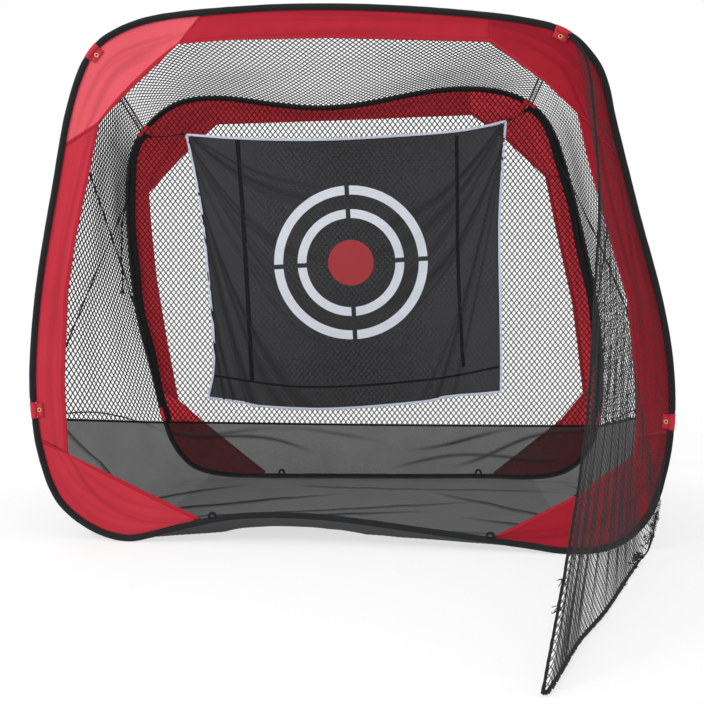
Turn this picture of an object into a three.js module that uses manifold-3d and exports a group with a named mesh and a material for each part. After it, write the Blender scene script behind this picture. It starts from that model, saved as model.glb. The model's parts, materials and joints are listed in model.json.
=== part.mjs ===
// Pop-up golf chipping net: two sprung fabric-sleeved hoops joined by netting, a mesh ground sheet,
// a hanging target and one side barrier. Millimetres, +Z up. The origin is on the ground, halfway
// between the hoops. The open mouth faces -Y.

import * as THREE from 'three';
import Module from 'manifold-3d';
import { mergeVertices } from 'three/addons/utils/BufferGeometryUtils.js';

const wasm = await Module();
wasm.setup();

// ---------------------------------------------------------------- driving dimensions

const NET_DEPTH = 1250;            // front hoop plane to rear hoop plane
const FRONT_Y = -NET_DEPTH / 2;
const REAR_Y = NET_DEPTH / 2;

const ROD_RADIUS = 3;              // sprung hoop rod
const FERRULE_RADIUS = 4.6;        // crimped tube that closes the hoop
const FERRULE_WALL = 1.2;
const FERRULE_LENGTH = 50;
const SLEEVE_RADIUS = 9;           // padded fabric sleeve over the rod
const SLEEVE_BORE_RADIUS = 7;
const ROD_SIDES = 6;
const SLEEVE_SIDES = 8;

const TAB_RADIUS = 9.5;            // red wrap between two sleeves
const TAB_BORE_RADIUS = 5;
const TAB_FLAP_REACH = 36;         // from the rod's axis to the flap's edge
const TAB_FLAP_THICKNESS = 3;
const TAB_SHARE_OF_STEP = 0.86;    // tab length as a share of one hoop step
const EYELET_OFFSET = 23;          // from the rod's axis
const EYELET_HOLE_RADIUS = 3.5;
const EYELET_BARREL_RADIUS = 5;
const EYELET_FLANGE_RADIUS = 8;
const EYELET_FLANGE_THICKNESS = 0.8;
const CLEARANCE = 0.3;             // between pieces that touch

const PANEL_THICKNESS = 1.5;       // red border fabric
const PANEL_BACKSET = 5;           // the border lies behind the tab flaps
const PANEL_EDGE_OFFSET = 12;      // from the rod's axis to the border's outer edge
const SEAM_GAP = 1;                // between border panels
const SHEET_GAP = 6;               // between neighbouring nets and sheets
const NET_THICKNESS = 2;
const NET_SETBACK = 16;            // from a hoop plane to the edge of the nets between the hoops
const BACK_NET_INSET = 3;          // the back net hangs in front of the rear border
const GROUND_SHEET_THICKNESS = 1.5;

const FOOT_LEAN = 185;             // the front hoop's foot leans forward this far at its right end
const FOOT_LEAN_HEIGHT = 420;      // and stands upright above this height
const FOOT_LEAN_FROM_X = -1200;    // the lean grows from here to the right end of the foot
const FOOT_LEAN_TO_X = 806;
const SKIRT_FRONT_Z = 470;         // top edge of the mesh skirts at the front hoop
const SKIRT_REAR_Z = 285;          // and at the rear hoop

const TARGET_Y = 520;
const TARGET_THICKNESS = 1.5;
const CORD_RADIUS = 3;
const CORD_SIDES = 8;
const TIE_RADIUS = 2.5;
const LOOP_WIDTH = 32;             // peg loops of webbing
const LOOP_HEIGHT = 36;
const LOOP_DEPTH = 16;
const LOOP_BAND = 4;
const LOOP_LIFT = 7;               // clears the slope of the sleeve below
const WING_EDGE_RADIUS = 7;        // rope and gathered net along the barrier's front edge
const CLEARANCE_FROM_ROPE = 4;     // between that rope and the barrier's net
const WING_HINGE_GAP = 10;         // from the barrier's hinge line to its net

// Hoop centre lines as (x, z), clockwise seen from the front, starting at the upper left tab.
const FRONT_HOOP = {
  steps: 96,
  points: [
    [-930, 1860], [-780, 1935], [-400, 1980], [0, 1986], [400, 1962], [660, 1928],
    [790, 1885], [905, 1760], [962, 1555], [1050, 1230], [1140, 915], [1183, 690],
    [1194, 475], [1162, 270], [1085, 115], [960, 32], [807, 10], [640, 25], [300, 60],
    [-150, 104], [-450, 97], [-670, 50], [-850, 10], [-990, 48], [-1115, 150], [-1180, 320],
    [-1203, 475], [-1208, 620], [-1180, 930], [-1105, 1340], [-1045, 1630], [-985, 1790],
  ],
  tabs: { upper_left: 0, upper_right: 6, lower_right: 12, lower_left: 26 },
};
const REAR_HOOP = {
  steps: 84,
  points: [
    [-983, 1655], [-850, 1750], [-670, 1776], [-370, 1742], [-200, 1729], [-20, 1742],
    [310, 1802], [500, 1813], [670, 1790], [780, 1735], [860, 1645], [935, 1450], [1045, 1020],
    [1095, 760], [1115, 480], [1104, 290], [1055, 135], [950, 42], [800, 15], [600, 17],
    [250, 14], [-100, 13], [-500, 13], [-670, 22], [-795, 60], [-880, 155], [-930, 285],
    [-978, 490], [-1050, 800], [-1083, 1150], [-1083, 1390], [-1055, 1545],
  ],
  tabs: { upper_left: 0, upper_right: 9, lower_right: 15, lower_left: 26 },
};

// Red border panels: each runs along its hoop between two seams and ends inwards at its inner edge.
// The first and last inner points are the seams' inner ends.
const FRONT_PANELS = {
  top_band: {
    from: [-549, 1962],
    to: [480, 1955],
    inner: [[-639, 1854], [-450, 1868], [-80, 1873], [504, 1856]],
  },
  upper_right_corner: {
    from: [480, 1955],
    to: [985, 1470],
    inner: [[504, 1856], [706, 1710], [825, 1600]],
  },
  right_band: {
    from: [985, 1470],
    to: [1187, 405],
    inner: [[825, 1600], [866, 1429], [960, 1110], [1018, 916], [1049, 652], [1060, 484], [1058, 405]],
  },
  lower_right_corner: {
    from: [1187, 405],
    to: [520, 37],
    inner: [[1058, 405], [1050, 333], [957, 276], [851, 201], [540, 56]],
  },
  lower_left_corner: {
    from: [-576, 78],
    to: [-1190, 388],
    inner: [[-570, 92], [-1076, 328]],
  },
  left_band: {
    from: [-1190, 388],
    to: [-1070, 1510],
    inner: [[-1076, 328], [-1084, 610], [-1065, 935], [-1030, 1151], [-985, 1344], [-936, 1572]],
  },
  upper_left_corner: {
    from: [-1070, 1510],
    to: [-549, 1962],
    inner: [[-936, 1572], [-811, 1695], [-639, 1854]],
  },
};
const REAR_PANELS = {
  top_band: {
    from: [-640, 1775],
    to: [500, 1813],
    inner: [[-667, 1654], [-44, 1673], [506, 1694]],
  },
  upper_right_corner: {
    from: [500, 1813],
    to: [950, 1395],
    inner: [[506, 1694], [667, 1576], [843, 1412]],
  },
  right_band: {
    from: [950, 1395],
    to: [1112, 420],
    inner: [[843, 1412], [909, 1115], [975, 833], [1001, 648], [1032, 414]],
  },
  lower_right_corner: {
    from: [1112, 420],
    to: [609, 17],
    inner: [[1032, 414], [932, 289], [620, 36]],
  },
  lower_left_corner: {
    from: [-436, 13],
    to: [-955, 390],
    inner: [[-450, 33], [-549, 112], [-737, 264], [-861, 372]],
  },
  left_band: {
    from: [-955, 390],
    to: [-1083, 1340],
    inner: [[-861, 372], [-912, 656], [-958, 956], [-980, 1207], [-987, 1341]],
  },
  upper_left_corner: {
    from: [-1083, 1340],
    to: [-640, 1775],
    inner: [[-987, 1341], [-812, 1526], [-667, 1654]],
  },
};

// Target sheet outline as (x, z), clockwise from its upper left corner.
const TARGET_OUTLINE = [
  [-795, 1603], [-560, 1588], [-300, 1582], [-39, 1588], [370, 1612], [540, 1634], [655, 1660],
  [636, 1300], [636, 1080], [647, 616], [647, 428],
  [403, 403], [271, 376], [-139, 343], [-439, 352], [-570, 376], [-708, 395],
  [-683, 525], [-683, 700], [-713, 1044], [-731, 1240], [-763, 1440],
];

// Cords tied across the side nets, from the front border to the rear hoop, as (x, y, z).
const SIDE_CORDS = {
  left_falling_cord: [[-975, -611, 1377], [-983, -210, 1137], [-991, 190, 892], [-999, 585, 650]],
  left_rising_cord: [[-1078, -608, 742], [-1077, -210, 940], [-1075, 190, 1134], [-1072, 585, 1325]],
  right_rising_cord: [[1028, -605, 862], [996, -210, 1066], [957, 190, 1266], [907, 585, 1462]],
  right_falling_cord: [[945, -605, 1180], [990, -210, 1048], [1034, 190, 917], [1073, 585, 790]],
};
const CORD_TAIL = [[-1072, 480, 1269], [-1060, 482, 1180], [-1046, 484, 1050], [-1040, 484, 890]];

// Side barrier: front edge from the upper right tab to the stake point, and the edge on the ground
// from the stake point back to the hoop, as (x, y, z).
const WING_FRONT_EDGE = [
  [800, -665, 1870], [850, -700, 1765], [862, -850, 1505], [848, -1050, 1245], [806, -1275, 990],
  [745, -1600, 650], [660, -1920, 340], [545, -2290, 8],
];
const WING_GROUND_EDGE = [
  [1125, -765, 170], [1075, -860, 45], [1000, -1000, 8], [820, -1535, 8], [690, -1870, 8],
  [575, -2240, 9],
];
const WING_HINGE_TOP = [805, -660, 1860];
const WING_HINGE_FOOT = [1135, -750, 180];

const PEG_LOOPS = { front: [-520, 500], rear: [-412, 576] };
const REAR_LOOP_SETBACK = 8;        // the rear loops stand behind the back skirt

// ---------------------------------------------------------------- materials

const paint = (color, roughness, metalness = 0) =>
  new THREE.MeshStandardMaterial({ color, roughness, metalness });
const RED_FABRIC = paint(0xc23446, 0.75);
const DARK_RED_FABRIC = paint(0xa81c2b, 0.8);
const BLACK_FABRIC = paint(0x1d1f22, 0.85);
const BLACK_NET = paint(0x2b2c2e, 0.9);
const GREY_MESH = paint(0x65696a, 0.9);
const TARGET_FABRIC = paint(0x3b3b3d, 0.9);
const BLACK_CORD = paint(0x141516, 0.8);
const BRASS = paint(0xb08d4a, 0.35, 0.9);
const SPRING_STEEL = paint(0x8d9194, 0.4, 0.9);

// ---------------------------------------------------------------- geometry helpers

const part = new THREE.Group();

function addMesh(name, geometry, material) {
  const mesh = new THREE.Mesh(geometry, material);
  mesh.name = name;
  part.add(mesh);
}

// Depth of the front hoop's surface: upright, with a foot that leans forward towards its right end.
function frontY(x, z) {
  const low = Math.max(0, 1 - Math.max(z, 0) / FOOT_LEAN_HEIGHT);
  const share = (x - FOOT_LEAN_FROM_X) / (FOOT_LEAN_TO_X - FOOT_LEAN_FROM_X);
  return FRONT_Y - FOOT_LEAN * low * low * share;
}
const rearY = () => REAR_Y;

// A curve that passes through its points in straight steps, and is sampled exactly at them.
class StepPath extends THREE.Curve {
  constructor(points) {
    super();
    this.points = points;
  }
  getPoint(t, target = new THREE.Vector3()) {
    const last = this.points.length - 1;
    const i = Math.min(Math.floor(t * last + 1e-9), last - 1);
    return target.lerpVectors(this.points[i], this.points[i + 1], t * last - i);
  }
  getPointAt(u, target) {
    return this.getPoint(u, target);
  }
  getTangentAt(u, target) {
    return this.getTangent(u, target);
  }
}

function circleShape(radius, sides, boreRadius = 0, boreSides = sides) {
  const ring = (r, n) =>
    Array.from({ length: n }, (_, i) => {
      const a = (2 * Math.PI * i) / n;
      return new THREE.Vector2(r * Math.cos(a), r * Math.sin(a));
    });
  const shape = new THREE.Shape(ring(radius, sides));
  if (boreRadius) shape.holes.push(new THREE.Path(ring(boreRadius, boreSides)));
  return shape;
}

function tube(points, shape) {
  return new THREE.ExtrudeGeometry(shape, {
    steps: points.length - 1,
    extrudePath: new StepPath(points),
  });
}

const vector = ([x, y, z]) => new THREE.Vector3(x, y, z);

// A smooth line through its points, in equal steps of about the length asked for.
function smoothLine(points, step) {
  const curve = new THREE.CatmullRomCurve3(points.map(vector), false, 'centripetal');
  return curve.getSpacedPoints(Math.max(2, Math.round(curve.getLength() / step)));
}

// Equally spaced points along a row of straight steps.
function resample(points, count) {
  const path = new THREE.CurvePath();
  for (let i = 1; i < points.length; i++) path.add(new THREE.LineCurve3(points[i - 1], points[i]));
  return path.getSpacedPoints(count);
}

// Extrudes an (x, z) outline towards -Y from its back face, which follows backY(x, z).
function uprightPanel(outline, thickness, backY) {
  const shape = new THREE.Shape(outline.map(([x, z]) => new THREE.Vector2(x, z)));
  const geometry = new THREE.ExtrudeGeometry(shape, { depth: thickness, bevelEnabled: false });
  geometry.rotateX(Math.PI / 2);
  const position = geometry.attributes.position;
  for (let i = 0; i < position.count; i++) {
    position.setY(i, position.getY(i) + backY(position.getX(i), position.getZ(i)));
  }
  geometry.computeVertexNormals();
  return geometry;
}

// A closed sheet from two grids of points, one for each face, with equal rows and columns.
function closedSheet(upper, lower) {
  const rows = upper.length;
  const columns = upper[0].length;
  const points = [...upper.flat(), ...lower.flat()];
  const size = rows * columns;
  const faces = [];
  const quad = (a, b, c, d) => faces.push([a, b, c], [a, c, d]);
  for (let r = 0; r + 1 < rows; r++) {
    for (let c = 0; c + 1 < columns; c++) {
      const corner = r * columns + c;
      const below = corner + columns;
      quad(corner, corner + 1, below + 1, below);
      quad(size + corner, size + below, size + below + 1, size + corner + 1);
    }
  }
  const rim = [];
  for (let c = 0; c + 1 < columns; c++) rim.push(c);
  for (let r = 0; r + 1 < rows; r++) rim.push(r * columns + columns - 1);
  for (let c = columns - 1; c > 0; c--) rim.push((rows - 1) * columns + c);
  for (let r = rows - 1; r > 0; r--) rim.push(r * columns);
  rim.forEach((a, i) => {
    const b = rim[(i + 1) % rim.length];
    quad(a, size + a, size + b, b);
  });
  const volume = faces.reduce(
    (sum, [a, b, c]) => sum + points[a].dot(points[b].clone().cross(points[c])), 0);
  if (volume < 0) faces.forEach((face) => face.reverse());
  const geometry = new THREE.BufferGeometry().setFromPoints(points);
  geometry.setIndex(faces.flat());
  geometry.computeVertexNormals();
  return geometry;
}

// A thin sheet between two rails with the same number of points, thickened to both sides.
function sheetBetween(railA, railB, thickness, bays = 1) {
  const grid = Array.from({ length: bays + 1 }, (_, r) =>
    railA.map((p, c) => p.clone().lerp(railB[c], r / bays)));
  const near = (row, i) => row[Math.min(Math.max(i, 0), row.length - 1)];
  const face = (side) =>
    grid.map((row, r) =>
      row.map((p, c) => {
        const along = near(row, c + 1).clone().sub(near(row, c - 1));
        const across = near(grid, r + 1)[c].clone().sub(near(grid, r - 1)[c]);
        return p.clone().addScaledVector(along.cross(across).normalize(), (side * thickness) / 2);
      }));
  return closedSheet(face(1), face(-1));
}

function toSolid(geometry) {
  const bare = geometry.clone();
  bare.deleteAttribute('normal');
  bare.deleteAttribute('uv');
  const merged = mergeVertices(bare, 1e-4);
  const mesh = new wasm.Mesh({
    numProp: 3,
    vertProperties: new Float32Array(merged.attributes.position.array),
    triVerts: new Uint32Array(merged.index.array),
  });
  return new wasm.Manifold(mesh);
}

function fromSolid(solid) {
  const mesh = solid.getMesh();
  const geometry = new THREE.BufferGeometry();
  geometry.setAttribute('position', new THREE.Float32BufferAttribute(mesh.vertProperties, 3));
  geometry.setIndex(Array.from(mesh.triVerts));
  geometry.computeVertexNormals();
  return geometry;
}

// ---------------------------------------------------------------- a hoop and its red border

// A hoop's centre line as equally spaced stations, with the step that each tab covers.
function makeHoop({ points, tabs, steps }, depthAt) {
  const curve = new THREE.CatmullRomCurve3(
    points.map(([x, z]) => new THREE.Vector3(x, depthAt(x, z), z)), true, 'centripetal');
  curve.arcLengthDivisions = 1000;
  const stations = curve.getSpacedPoints(steps).slice(0, steps);
  const at = (i) => stations[((i % steps) + steps) % steps];
  const nearest = ([x, z], offset = 0) => {
    let best = 0;
    for (let i = 0; i < steps; i++) {
      const here = at(i).clone().lerp(at(i + 1), offset);
      const there = at(best).clone().lerp(at(best + 1), offset);
      if (Math.hypot(here.x - x, here.z - z) < Math.hypot(there.x - x, there.z - z)) best = i;
    }
    return best;
  };
  const tabSteps = Object.fromEntries(
    Object.entries(tabs).map(([name, i]) => [name, nearest(points[i], 0.5)]));
  const run = (from, to) => {
    const count = (((to - from) % steps) + steps) % steps;
    return Array.from({ length: count + 1 }, (_, i) => at(from + i).clone());
  };
  // An (x, z) point a little way in from the centre line at a station.
  const inset = (i, distance) => {
    const along = at(i + 1).clone().sub(at(i - 1)).setY(0).normalize();
    return [at(i).x + along.z * distance, at(i).z - along.x * distance];
  };
  return { steps, at, nearest, tabSteps, run, inset };
}

function addRodAndSleeves(prefix, hoop) {
  const { steps, tabSteps, run, at } = hoop;
  const order = ['upper_left', 'upper_right', 'lower_right', 'lower_left'];
  const sleeveNames = ['top', 'right', 'bottom', 'left'];
  order.forEach((corner, i) => {
    const from = tabSteps[corner] + 1;
    const to = tabSteps[order[(i + 1) % 4]];
    const shape = circleShape(SLEEVE_RADIUS, SLEEVE_SIDES, SLEEVE_BORE_RADIUS, ROD_SIDES);
    addMesh(`${prefix}_${sleeveNames[i]}_sleeve`, tube(run(from, to), shape), BLACK_FABRIC);
  });

  // The rod is one length bent round, and its two ends meet inside a ferrule at the foot.
  const joint = Math.round((tabSteps.lower_right + tabSteps.lower_left) / 2);
  const rod = run(joint + 1, joint + steps);
  const a = at(joint);
  const b = at(joint + 1);
  const middle = a.clone().lerp(b, 0.5);
  const along = b.clone().sub(a).normalize();
  rod.unshift(middle.clone().addScaledVector(along, CLEARANCE));
  rod.push(middle.clone().addScaledVector(along, -CLEARANCE));
  addMesh(`${prefix}_hoop_rod`, tube(rod, circleShape(ROD_RADIUS, ROD_SIDES)), SPRING_STEEL);
  const ferrule = [-1, 1].map((s) => middle.clone().addScaledVector(along, (s * FERRULE_LENGTH) / 2));
  const ring = circleShape(FERRULE_RADIUS, 12, FERRULE_RADIUS - FERRULE_WALL, 12);
  addMesh(`${prefix}_hoop_ferrule`, tube(ferrule, ring), BRASS);
}

// Local frame at the middle of a tab's step: X inwards across the rod, Z along it.
function tabFrame(hoop, corner) {
  const a = hoop.at(hoop.tabSteps[corner]);
  const b = hoop.at(hoop.tabSteps[corner] + 1);
  const along = b.clone().sub(a);
  const length = along.length();
  along.normalize();
  const inwards = new THREE.Vector3(along.z, 0, -along.x).normalize();
  const across = along.clone().cross(inwards).normalize();
  const matrix = new THREE.Matrix4().makeBasis(inwards, across, along);
  matrix.setPosition(a.clone().lerp(b, 0.5));
  return { matrix, length };
}

// A wrap round the rod whose two layers meet in a flap towards the inside of the hoop.
function addTab(prefix, hoop, corner, material, withEyelet) {
  const { matrix, length } = tabFrame(hoop, corner);
  const half = TAB_FLAP_THICKNESS / 2;
  const start = Math.asin(half / TAB_RADIUS);
  const outline = [new THREE.Vector2(TAB_FLAP_REACH, -half), new THREE.Vector2(TAB_FLAP_REACH, half)];
  const arcSteps = 10;
  for (let i = 0; i <= arcSteps; i++) {
    const angle = start + ((2 * Math.PI - 2 * start) * i) / arcSteps;
    outline.push(new THREE.Vector2(TAB_RADIUS * Math.cos(angle), TAB_RADIUS * Math.sin(angle)));
  }
  const shape = new THREE.Shape(outline);
  shape.holes.push(new THREE.Path(circleShape(TAB_BORE_RADIUS, 8).getPoints()));
  const depth = length * TAB_SHARE_OF_STEP;
  let geometry = new THREE.ExtrudeGeometry(shape, { depth, bevelEnabled: false });
  geometry.translate(0, 0, -depth / 2);
  if (withEyelet) {
    const drillRadius = EYELET_BARREL_RADIUS + CLEARANCE;
    const drill = new THREE.CylinderGeometry(drillRadius, drillRadius, 20, 16);
    drill.translate(EYELET_OFFSET, 0, 0);
    geometry = fromSolid(toSolid(geometry).subtract(toSolid(drill)));
    addMesh(`${prefix}_${corner}_eyelet`, eyelet().applyMatrix4(matrix), BRASS);
  }
  addMesh(`${prefix}_${corner}_tab`, geometry.applyMatrix4(matrix), material);
}

// A brass eyelet: a barrel through the flap with a flange on each face.
function eyelet() {
  const inner = TAB_FLAP_THICKNESS / 2 + CLEARANCE;
  const outer = inner + EYELET_FLANGE_THICKNESS;
  const profile = [
    [EYELET_HOLE_RADIUS, -outer], [EYELET_FLANGE_RADIUS, -outer], [EYELET_FLANGE_RADIUS, -inner],
    [EYELET_BARREL_RADIUS, -inner], [EYELET_BARREL_RADIUS, inner], [EYELET_FLANGE_RADIUS, inner],
    [EYELET_FLANGE_RADIUS, outer], [EYELET_HOLE_RADIUS, outer], [EYELET_HOLE_RADIUS, -outer],
  ].map(([r, y]) => new THREE.Vector2(r, y));
  return new THREE.LatheGeometry(profile, 16).translate(EYELET_OFFSET, 0, 0);
}

// A point moved towards another, so that neighbouring panels keep a gap at their seam.
function shifted([x, z], [towardsX, towardsZ], distance) {
  const share = distance / Math.hypot(towardsX - x, towardsZ - z);
  return [x + (towardsX - x) * share, z + (towardsZ - z) * share];
}

function addBorder(prefix, hoop, panels, depthAt, material) {
  for (const [name, { from, to, inner }] of Object.entries(panels)) {
    const first = hoop.nearest(from);
    const last = hoop.nearest(to);
    const count = (((last - first) % hoop.steps) + hoop.steps) % hoop.steps;
    const outer = Array.from({ length: count + 1 }, (_, i) => hoop.inset(first + i, PANEL_EDGE_OFFSET));
    outer[0] = shifted(outer[0], outer[1], SEAM_GAP / 2);
    outer[count] = shifted(outer[count], outer[count - 1], SEAM_GAP / 2);
    const inside = [...inner];
    const end = inside.length - 1;
    inside[0] = shifted(inner[0], inner[1], SEAM_GAP / 2);
    inside[end] = shifted(inner[end], inner[end - 1], SEAM_GAP / 2);
    const backY = (x, z) => depthAt(x, z) + PANEL_BACKSET + PANEL_THICKNESS;
    const geometry = uprightPanel([...outer, ...inside.reverse()], PANEL_THICKNESS, backY);
    addMesh(`${prefix}_${name}`, geometry, material);
  }
}

// A webbing loop for a ground peg, standing on the inside of the hoop's bottom sleeve.
function addPegLoop(name, hoop, x, setback) {
  const foot = hoop.at(hoop.nearest([x, 0]));
  // Upright sides with cut corners at the top.
  const arch = (halfWidth, low, shoulder, high) =>
    [[-1, low], [1, low], [1, shoulder], [0.5, high], [-0.5, high], [-1, shoulder]]
      .map(([side, z]) => new THREE.Vector2(side * halfWidth, z));
  const outline = new THREE.Shape(arch(LOOP_WIDTH / 2, 0, LOOP_HEIGHT * 0.7, LOOP_HEIGHT));
  const hole = arch(LOOP_WIDTH / 2 - LOOP_BAND, LOOP_BAND, LOOP_HEIGHT * 0.64, LOOP_HEIGHT - LOOP_BAND);
  outline.holes.push(new THREE.Path(hole));
  const geometry = new THREE.ExtrudeGeometry(outline, { depth: LOOP_DEPTH, bevelEnabled: false });
  geometry.rotateX(Math.PI / 2);
  geometry.translate(foot.x, foot.y + LOOP_DEPTH / 2 + setback, foot.z + SLEEVE_RADIUS + LOOP_LIFT);
  addMesh(name, geometry, BLACK_FABRIC);
}

const frontHoop = makeHoop(FRONT_HOOP, frontY);
const rearHoop = makeHoop(REAR_HOOP, rearY);

addRodAndSleeves('front', frontHoop);
addRodAndSleeves('rear', rearHoop);
for (const corner of Object.keys(FRONT_HOOP.tabs)) {
  addTab('front', frontHoop, corner, RED_FABRIC, true);
  addTab('rear', rearHoop, corner, DARK_RED_FABRIC, false);
}
addBorder('front', frontHoop, FRONT_PANELS, frontY, RED_FABRIC);
addBorder('rear', rearHoop, REAR_PANELS, rearY, DARK_RED_FABRIC);
['left', 'right'].forEach((side, i) => {
  addPegLoop(`front_${side}_peg_loop`, frontHoop, PEG_LOOPS.front[i], 0);
  addPegLoop(`rear_${side}_peg_loop`, rearHoop, PEG_LOOPS.rear[i], REAR_LOOP_SETBACK);
});

// ---------------------------------------------------------------- nets between the hoops

// The nets' edges along the two hoops, set back behind the front sleeves and in front of the rear ones.
function railPair(front, rear, count) {
  const a = resample(front, count).map((p) => p.add(new THREE.Vector3(0, NET_SETBACK, 0)));
  const b = resample(rear, count).map((p) => p.sub(new THREE.Vector3(0, NET_SETBACK, 0)));
  return [a, b];
}

// Hoop stations between two places, cut back at both ends by half of the gap between two sheets.
function between(hoop, from, to) {
  const points = hoop.run(from, to);
  const last = points.length - 1;
  const cut = (end, next) => end.addScaledVector(next.clone().sub(end).normalize(), SHEET_GAP / 2);
  cut(points[0], points[1]);
  cut(points[last], points[last - 1]);
  return points;
}

const frontSkirtRight = frontHoop.nearest([1194, SKIRT_FRONT_Z]);
const frontSkirtLeft = frontHoop.nearest([-1203, SKIRT_FRONT_Z]);
const rearSkirtRight = rearHoop.nearest([1104, SKIRT_REAR_Z]);
const rearSkirtLeft = rearHoop.nearest([-930, SKIRT_REAR_Z]);
const frontFloorRight = frontHoop.nearest([807, 10]);
const frontFloorLeft = frontHoop.nearest([-850, 10]);
const rearFloorRight = rearHoop.nearest([800, 15]);
const rearFloorLeft = rearHoop.nearest([-700, 22]);

// A sheet from one arc of the front hoop to one arc of the rear hoop, in a count of straight steps.
function addSpan(name, frontArc, rearArc, count, thickness, material) {
  const rails = railPair(between(frontHoop, ...frontArc), between(rearHoop, ...rearArc), count);
  addMesh(name, sheetBetween(...rails, thickness), material);
}

const frontTabs = frontHoop.tabSteps;
const rearTabs = rearHoop.tabSteps;
const NET_SPANS = [
  {
    name: 'roof_net',
    front: [frontTabs.upper_left, frontTabs.upper_right],
    rear: [rearTabs.upper_left, rearTabs.upper_right],
    count: 14,
  },
  {
    name: 'right_net',
    front: [frontTabs.upper_right, frontSkirtRight],
    rear: [rearTabs.upper_right, rearSkirtRight],
    count: 10,
  },
  {
    name: 'left_net',
    front: [frontSkirtLeft, frontTabs.upper_left],
    rear: [rearSkirtLeft, rearTabs.upper_left],
    count: 10,
  },
];
for (const { name, front, rear, count } of NET_SPANS) {
  addSpan(name, front, rear, count, NET_THICKNESS, BLACK_NET);
}
const SKIRT_SPANS = [
  {
    name: 'right_skirt',
    front: [frontSkirtRight, frontFloorRight],
    rear: [rearSkirtRight, rearFloorRight],
  },
  {
    name: 'left_skirt',
    front: [frontFloorLeft, frontSkirtLeft],
    rear: [rearFloorLeft, rearSkirtLeft],
  },
];
for (const { name, front, rear } of SKIRT_SPANS) {
  addSpan(name, front, rear, 8, GROUND_SHEET_THICKNESS, GREY_MESH);
}

// The ground sheet lies flat and rises at its front edge to the arch of the front hoop.
function addGroundSheet() {
  const columns = 14;
  const flatFromShare = 0.25;
  const frontArc = between(frontHoop, frontFloorRight, frontFloorLeft);
  const rearArc = between(rearHoop, rearFloorRight, rearFloorLeft);
  const [front, rear] = railPair(frontArc, rearArc, columns);
  const rows = [
    front,
    front.map((p, i) => p.clone().lerp(rear[i], flatFromShare).setZ(0)),
    rear.map((p) => p.clone().setZ(0)),
  ];
  const raised = (height) =>
    rows.map((row) => row.map((p) => p.clone().setZ(Math.max(p.z, 0) + height)));
  addMesh('ground_sheet', closedSheet(raised(GROUND_SHEET_THICKNESS), raised(0)), GREY_MESH);
}
addGroundSheet();

// ---------------------------------------------------------------- back wall

const backY = () => REAR_Y - BACK_NET_INSET;
const backInset = PANEL_EDGE_OFFSET + 2;
// The rear hoop's outline between two stations, closed by a straight edge that is moved by the lift.
function backOutline(from, to, lift) {
  const count = (((to - from) % rearHoop.steps) + rearHoop.steps) % rearHoop.steps;
  const outline = Array.from({ length: count + 1 }, (_, i) => rearHoop.inset(from + i, backInset));
  outline[0][1] += lift;
  outline[count][1] += lift;
  return outline;
}
const netOutline = backOutline(rearSkirtLeft, rearSkirtRight, SHEET_GAP / 2);
const skirtOutline = backOutline(rearSkirtRight, rearSkirtLeft, -SHEET_GAP / 2);
addMesh('back_net', uprightPanel(netOutline, NET_THICKNESS, backY), BLACK_NET);
addMesh('back_skirt', uprightPanel(skirtOutline, GROUND_SHEET_THICKNESS, backY), GREY_MESH);

// ---------------------------------------------------------------- hanging target

addMesh('target_sheet', uprightPanel(TARGET_OUTLINE, TARGET_THICKNESS, () => TARGET_Y), TARGET_FABRIC);

function addTie(name, corner, [x, z], side) {
  const frame = tabFrame(rearHoop, corner);
  const eye = new THREE.Vector3(TAB_FLAP_REACH + TIE_RADIUS + 2, -8, 0).applyMatrix4(frame.matrix);
  const knot = new THREE.Vector3(x + side * 14, TARGET_Y, z + 4);
  const start = eye.setY(REAR_Y - BACK_NET_INSET - NET_THICKNESS - TIE_RADIUS - 2);
  const middle = start.clone().lerp(knot, 0.5).add(new THREE.Vector3(0, 0, -6));
  addMesh(name, tube([start, middle, knot], circleShape(TIE_RADIUS, CORD_SIDES)), BLACK_CORD);
}
addTie('left_target_tie', 'upper_left', TARGET_OUTLINE[0], -1);
addTie('right_target_tie', 'upper_right', TARGET_OUTLINE[6], 1);

// ---------------------------------------------------------------- cords across the side nets

function addCord(name, points, step) {
  const section = circleShape(CORD_RADIUS, CORD_SIDES);
  addMesh(name, tube(smoothLine(points, step), section), BLACK_CORD);
}
for (const [name, points] of Object.entries(SIDE_CORDS)) addCord(name, points, 90);
addCord('left_cord_tail', CORD_TAIL, 40);

// ---------------------------------------------------------------- side barrier

function addWing() {
  const columns = 8;
  const forwards = new THREE.Vector3(-0.35, -1, 0).normalize().multiplyScalar(WING_HINGE_GAP);
  const hinge = [WING_HINGE_TOP, WING_HINGE_FOOT].map((p) => vector(p).add(forwards));
  const held = resample(hinge, columns);
  const ground = resample(smoothLine(WING_GROUND_EDGE, 100), columns);
  const free = resample(smoothLine(WING_FRONT_EDGE, 60), 2 * columns + 1);
  const fixed = [...held, ...ground];
  const gap = WING_EDGE_RADIUS + CLEARANCE_FROM_ROPE;
  const gathered = free.map((p, i) => {
    const towardsHinge = fixed[i].clone().sub(p).normalize();
    return p.clone().addScaledVector(towardsHinge, gap);
  });
  addMesh('side_barrier_net', sheetBetween(gathered, fixed, NET_THICKNESS, 2), BLACK_NET);
  const rope = smoothLine(WING_FRONT_EDGE, 60);
  addMesh('side_barrier_front_edge', tube(rope, circleShape(WING_EDGE_RADIUS, CORD_SIDES)), BLACK_CORD);
}
addWing();

export default part;
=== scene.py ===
"""Golf chipping net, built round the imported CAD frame: sleeved hoops, red borders, real diamond netting,
fine mesh sheets, a folded target cloth and the side barrier. Metres, +Z up, the open mouth faces -Y."""

import json
import math

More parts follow.
